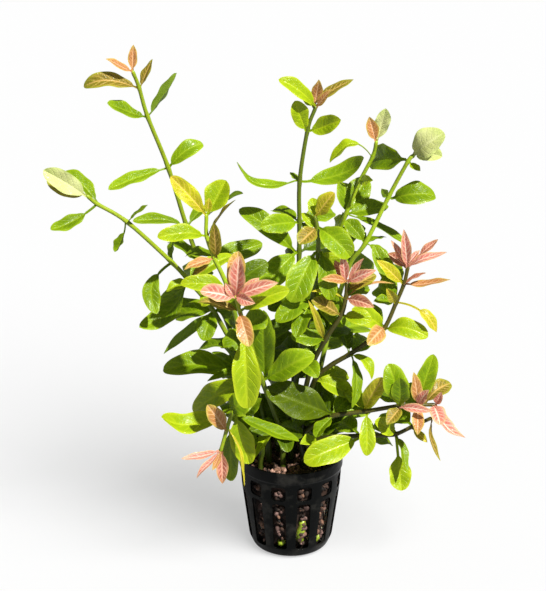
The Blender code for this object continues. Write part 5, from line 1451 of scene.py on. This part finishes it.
def add_top_grains(plug, draw):
    """Granules on the medium's top, clear of the stems."""
    roots = [Vector((*stem.root, 0.0)) for stem in SHOOTS]
    for grain in range(TOP_GRAINS):
        radius = TOP_GRAIN_REACH * math.sqrt(draw.random())
        angle = draw.uniform(0.0, math.tau)
        spot = on_circle(radius, angle, 0.0)
        size = draw.choice(TOP_GRAIN_SIZES)
        if any((spot - root).length < size + STEM_BASE_RADIUS + STEM_CLEARANCE for root in roots):
            continue
        top = MEDIUM_EDGE_HEIGHT + MEDIUM_DOME * (1.0 - (radius / TOP_GRAIN_EDGE) ** 2)
        spot.z = top - TOP_GRAIN_SINK + draw.uniform(*TOP_GRAIN_LEVELS)
        add_grain(plug, spot, size, draw, draw.choice((BROWN, BROWN, BROWN, PINK)))


def add_slot_grains(plug, draw):
    """Granules that show in the slots of the pot's wall."""
    for index in range(POT_COLUMNS):
        for row in (UPPER_SLOT_ROW, LOWER_SLOT_ROW):
            (top_radius, top), (low_radius, low) = POT_OUTLINE[row], POT_OUTLINE[row + 1]
            for grain in range(int(SLOT_GRAINS_PER_MM * (top - low))):
                share = draw.uniform(*SLOT_GRAIN_SHARES)
                turn = draw.uniform(-SLOT_GRAIN_TURN, SLOT_GRAIN_TURN)
                angle = (index + 0.5) * math.tau / POT_COLUMNS + turn
                size = draw.choice(SLOT_GRAIN_SIZES)
                radius = low_radius + (top_radius - low_radius) * share - POT_WALL - SLOT_GRAIN_SINK * size
                spot = on_circle(radius, angle, low + (top - low) * share)
                # Most slot grains wear the near-black skin, painted shade in the slots
                add_grain(plug, spot, size, draw, draw.choice((DARK_SHADED, DARK_SHADED, DARK_SHADED, BROWN, STONE)))


def add_roots(plug, draw):
    """Thin roots that run down behind the slots."""
    for root in range(ROOTS):
        angle = draw.uniform(0.0, math.tau)
        start_z = draw.uniform(*ROOT_STARTS)
        points = []
        for step in range(ROOT_STEPS):
            height = start_z - ROOT_STEP * step * draw.uniform(*ROOT_STEP_SHARES)
            if height < ROOT_END:
                break
            radius = medium_radius(height) - ROOT_SINK
            angle += draw.uniform(-ROOT_WANDER, ROOT_WANDER)
            points.append((on_circle(radius, angle, height), draw.uniform(*ROOT_RADII)))
        if len(points) >= LEAST_ROOT_POINTS:
            add_tube(plug, points, ROOT_SIDES, ROOT)


def add_young_shoots(plug):
    """Short thick shoots behind the slots."""
    for angle_degrees, high, low, thickness in YOUNG_SHOOTS:
        points = []
        for step in range(SHOOT_STEPS + 1):
            height = high + (low - high) * step / SHOOT_STEPS
            radius = medium_radius(height) - SHOOT_SINK
            angle = math.radians(angle_degrees) + SHOOT_BEND * math.sin(step)
            belly = math.sin(math.pi * step / SHOOT_STEPS)
            thick = thickness * (SHOOT_END_SHARE + SHOOT_BELLY * belly)
            points.append((on_circle(radius, angle, height), thick))
        add_tube(plug, points, SHOOT_SIDES, YOUNG)


def dress_medium(looks):
    """The plug, its granules on top and in the slots, and the roots and shoots among them."""
    draw = random.Random(MEDIUM_SEED)
    plug = make_plug()
    add_top_grains(plug, draw)
    add_slot_grains(plug, draw)
    add_roots(plug, draw)
    add_young_shoots(plug)
    piece = new_piece("fine_growing_medium", plug, looks, False)
    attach(piece, "root")
    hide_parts("growing_medium")


def medium_radius(height):
    """Radius of the medium's side at a height in the pot."""
    side = medium_outline()[1:6]
    for (low_radius, low), (high_radius, high) in zip(side, side[1:]):
        if low <= height <= high:
            return low_radius + (high_radius - low_radius) * (height - low) / (high - low)
    return side[-1][0]


def make_stage():
    """A wide pale floor that stays near white around the part, with a soft grey shadow."""
    graph = Graph("pale_floor")
    matt = graph.node("ShaderNodeBsdfDiffuse", {"Color": (FLOOR_TONE,) * 3})
    seen = graph.node("ShaderNodeLightPath").outputs["Is Camera Ray"]
    glow = graph.node("ShaderNodeEmission", {"Color": WHITE, "Strength": graph.times(seen, FLOOR_GLOW)})
    both = graph.blend("ShaderNodeAddShader", matt.outputs[0], glow.outputs[0])
    floor_sheet = bmesh.new()
    bmesh.ops.create_grid(floor_sheet, x_segments=2, y_segments=2, size=FLOOR_REACH)
    floor = new_piece("floor", floor_sheet, [graph.surface(both)], False)
    return floor


def add_sun(name, strength, size, colour, receiver, state):
    """A sun from the front right that lights only, or all but, the given object."""
    sun = bpy.data.lights.new(name, "SUN")
    sun.energy = strength
    sun.angle = size
    sun.color = colour
    lamp = link_new(name, sun)
    toward = Vector((
        math.sin(SUN_AZIMUTH) * math.cos(SUN_ELEVATION),
        -math.cos(SUN_AZIMUTH) * math.cos(SUN_ELEVATION),
        math.sin(SUN_ELEVATION),
    ))
    lamp.rotation_euler = toward.to_track_quat("Z", "Y").to_euler()
    group = bpy.data.collections.new(f"{name}_receivers")
    group.objects.link(receiver)
    lamp.light_linking.receiver_collection = group
    group.collection_objects[0].light_linking.link_state = state


def make_light(floor):
    """A clear key from the front right, a broad soft one for the floor, and a faint white sky."""
    add_sun("key", KEY_STRENGTH, KEY_SIZE, KEY_COLOUR, floor, "EXCLUDE")
    add_sun("floor_light", FLOOR_LIGHT_STRENGTH, FLOOR_LIGHT_SIZE, WHITE, floor, "INCLUDE")
    world = bpy.data.worlds.new("pale_sky")
    bpy.context.scene.world = world
    world.use_nodes = True
    tree = world.node_tree
    back = tree.nodes["Background"]
    path = tree.nodes.new("ShaderNodeLightPath")
    level = tree.nodes.new("ShaderNodeMapRange")
    level.inputs["To Min"].default_value = SKY_LIGHT
    level.inputs["To Max"].default_value = 1.0
    tree.links.new(path.outputs["Is Camera Ray"], level.inputs["Value"])
    tree.links.new(level.outputs["Result"], back.inputs["Strength"])
    back.inputs["Color"].default_value = (*WHITE, 1.0)


def make_camera():
    """The photograph's view: slightly from above, with a long lens."""
    camera = bpy.data.cameras.new("camera")
    camera.sensor_fit = "VERTICAL"
    camera.sensor_height = SENSOR
    camera.lens = LENS
    camera.clip_start = CLIP_START
    made = link_new("camera", camera)
    made.location = VIEWER * MM
    made.rotation_euler = (VIEW_AIM - VIEWER).to_track_quat("-Z", "Y").to_euler()
    bpy.context.scene.camera = made


make_light(make_stage())
make_camera()
bpy.context.scene.view_settings.view_transform = "Standard"
leaf_kinds = list(LEAF_LOOKS)
leaf_looks = {kind: leaf_material(kind, look) for kind, look in LEAF_LOOKS.items()}
stem_skins = {kind: stem_material(f"{kind}_stem_skin", *look) for kind, look in STEM_LOOKS.items()}
dress_shoots(leaf_looks, leaf_kinds, stem_skins)
dress_pot()
dress_medium([
    granule_material("brown_granules", (0.035, 0.018, 0.012), (0.19, 0.10, 0.065), (0.34, 0.22, 0.17)),
    granule_material("pink_granules", (0.16, 0.08, 0.055), (0.42, 0.25, 0.19), (0.55, 0.40, 0.33)),
    flesh_material("pale_roots", 260.0, (0.24, 0.21, 0.12), (0.46, 0.42, 0.30), 0.45, 0.2, 1500.0),
    flesh_material("young_shoot", 200.0, (0.15, 0.20, 0.012), (0.36, 0.48, 0.03), 0.4, 0.15, 900.0),
    # Near-black granule skin: painted shade for the plug's body and the grains in the slots
    granule_material("wet_granules", (0.006, 0.004, 0.003), (0.045, 0.024, 0.017), (0.10, 0.065, 0.05)),
    granule_material("wet_stones", (0.05, 0.026, 0.022), (0.20, 0.12, 0.105), (0.30, 0.20, 0.18)),
])
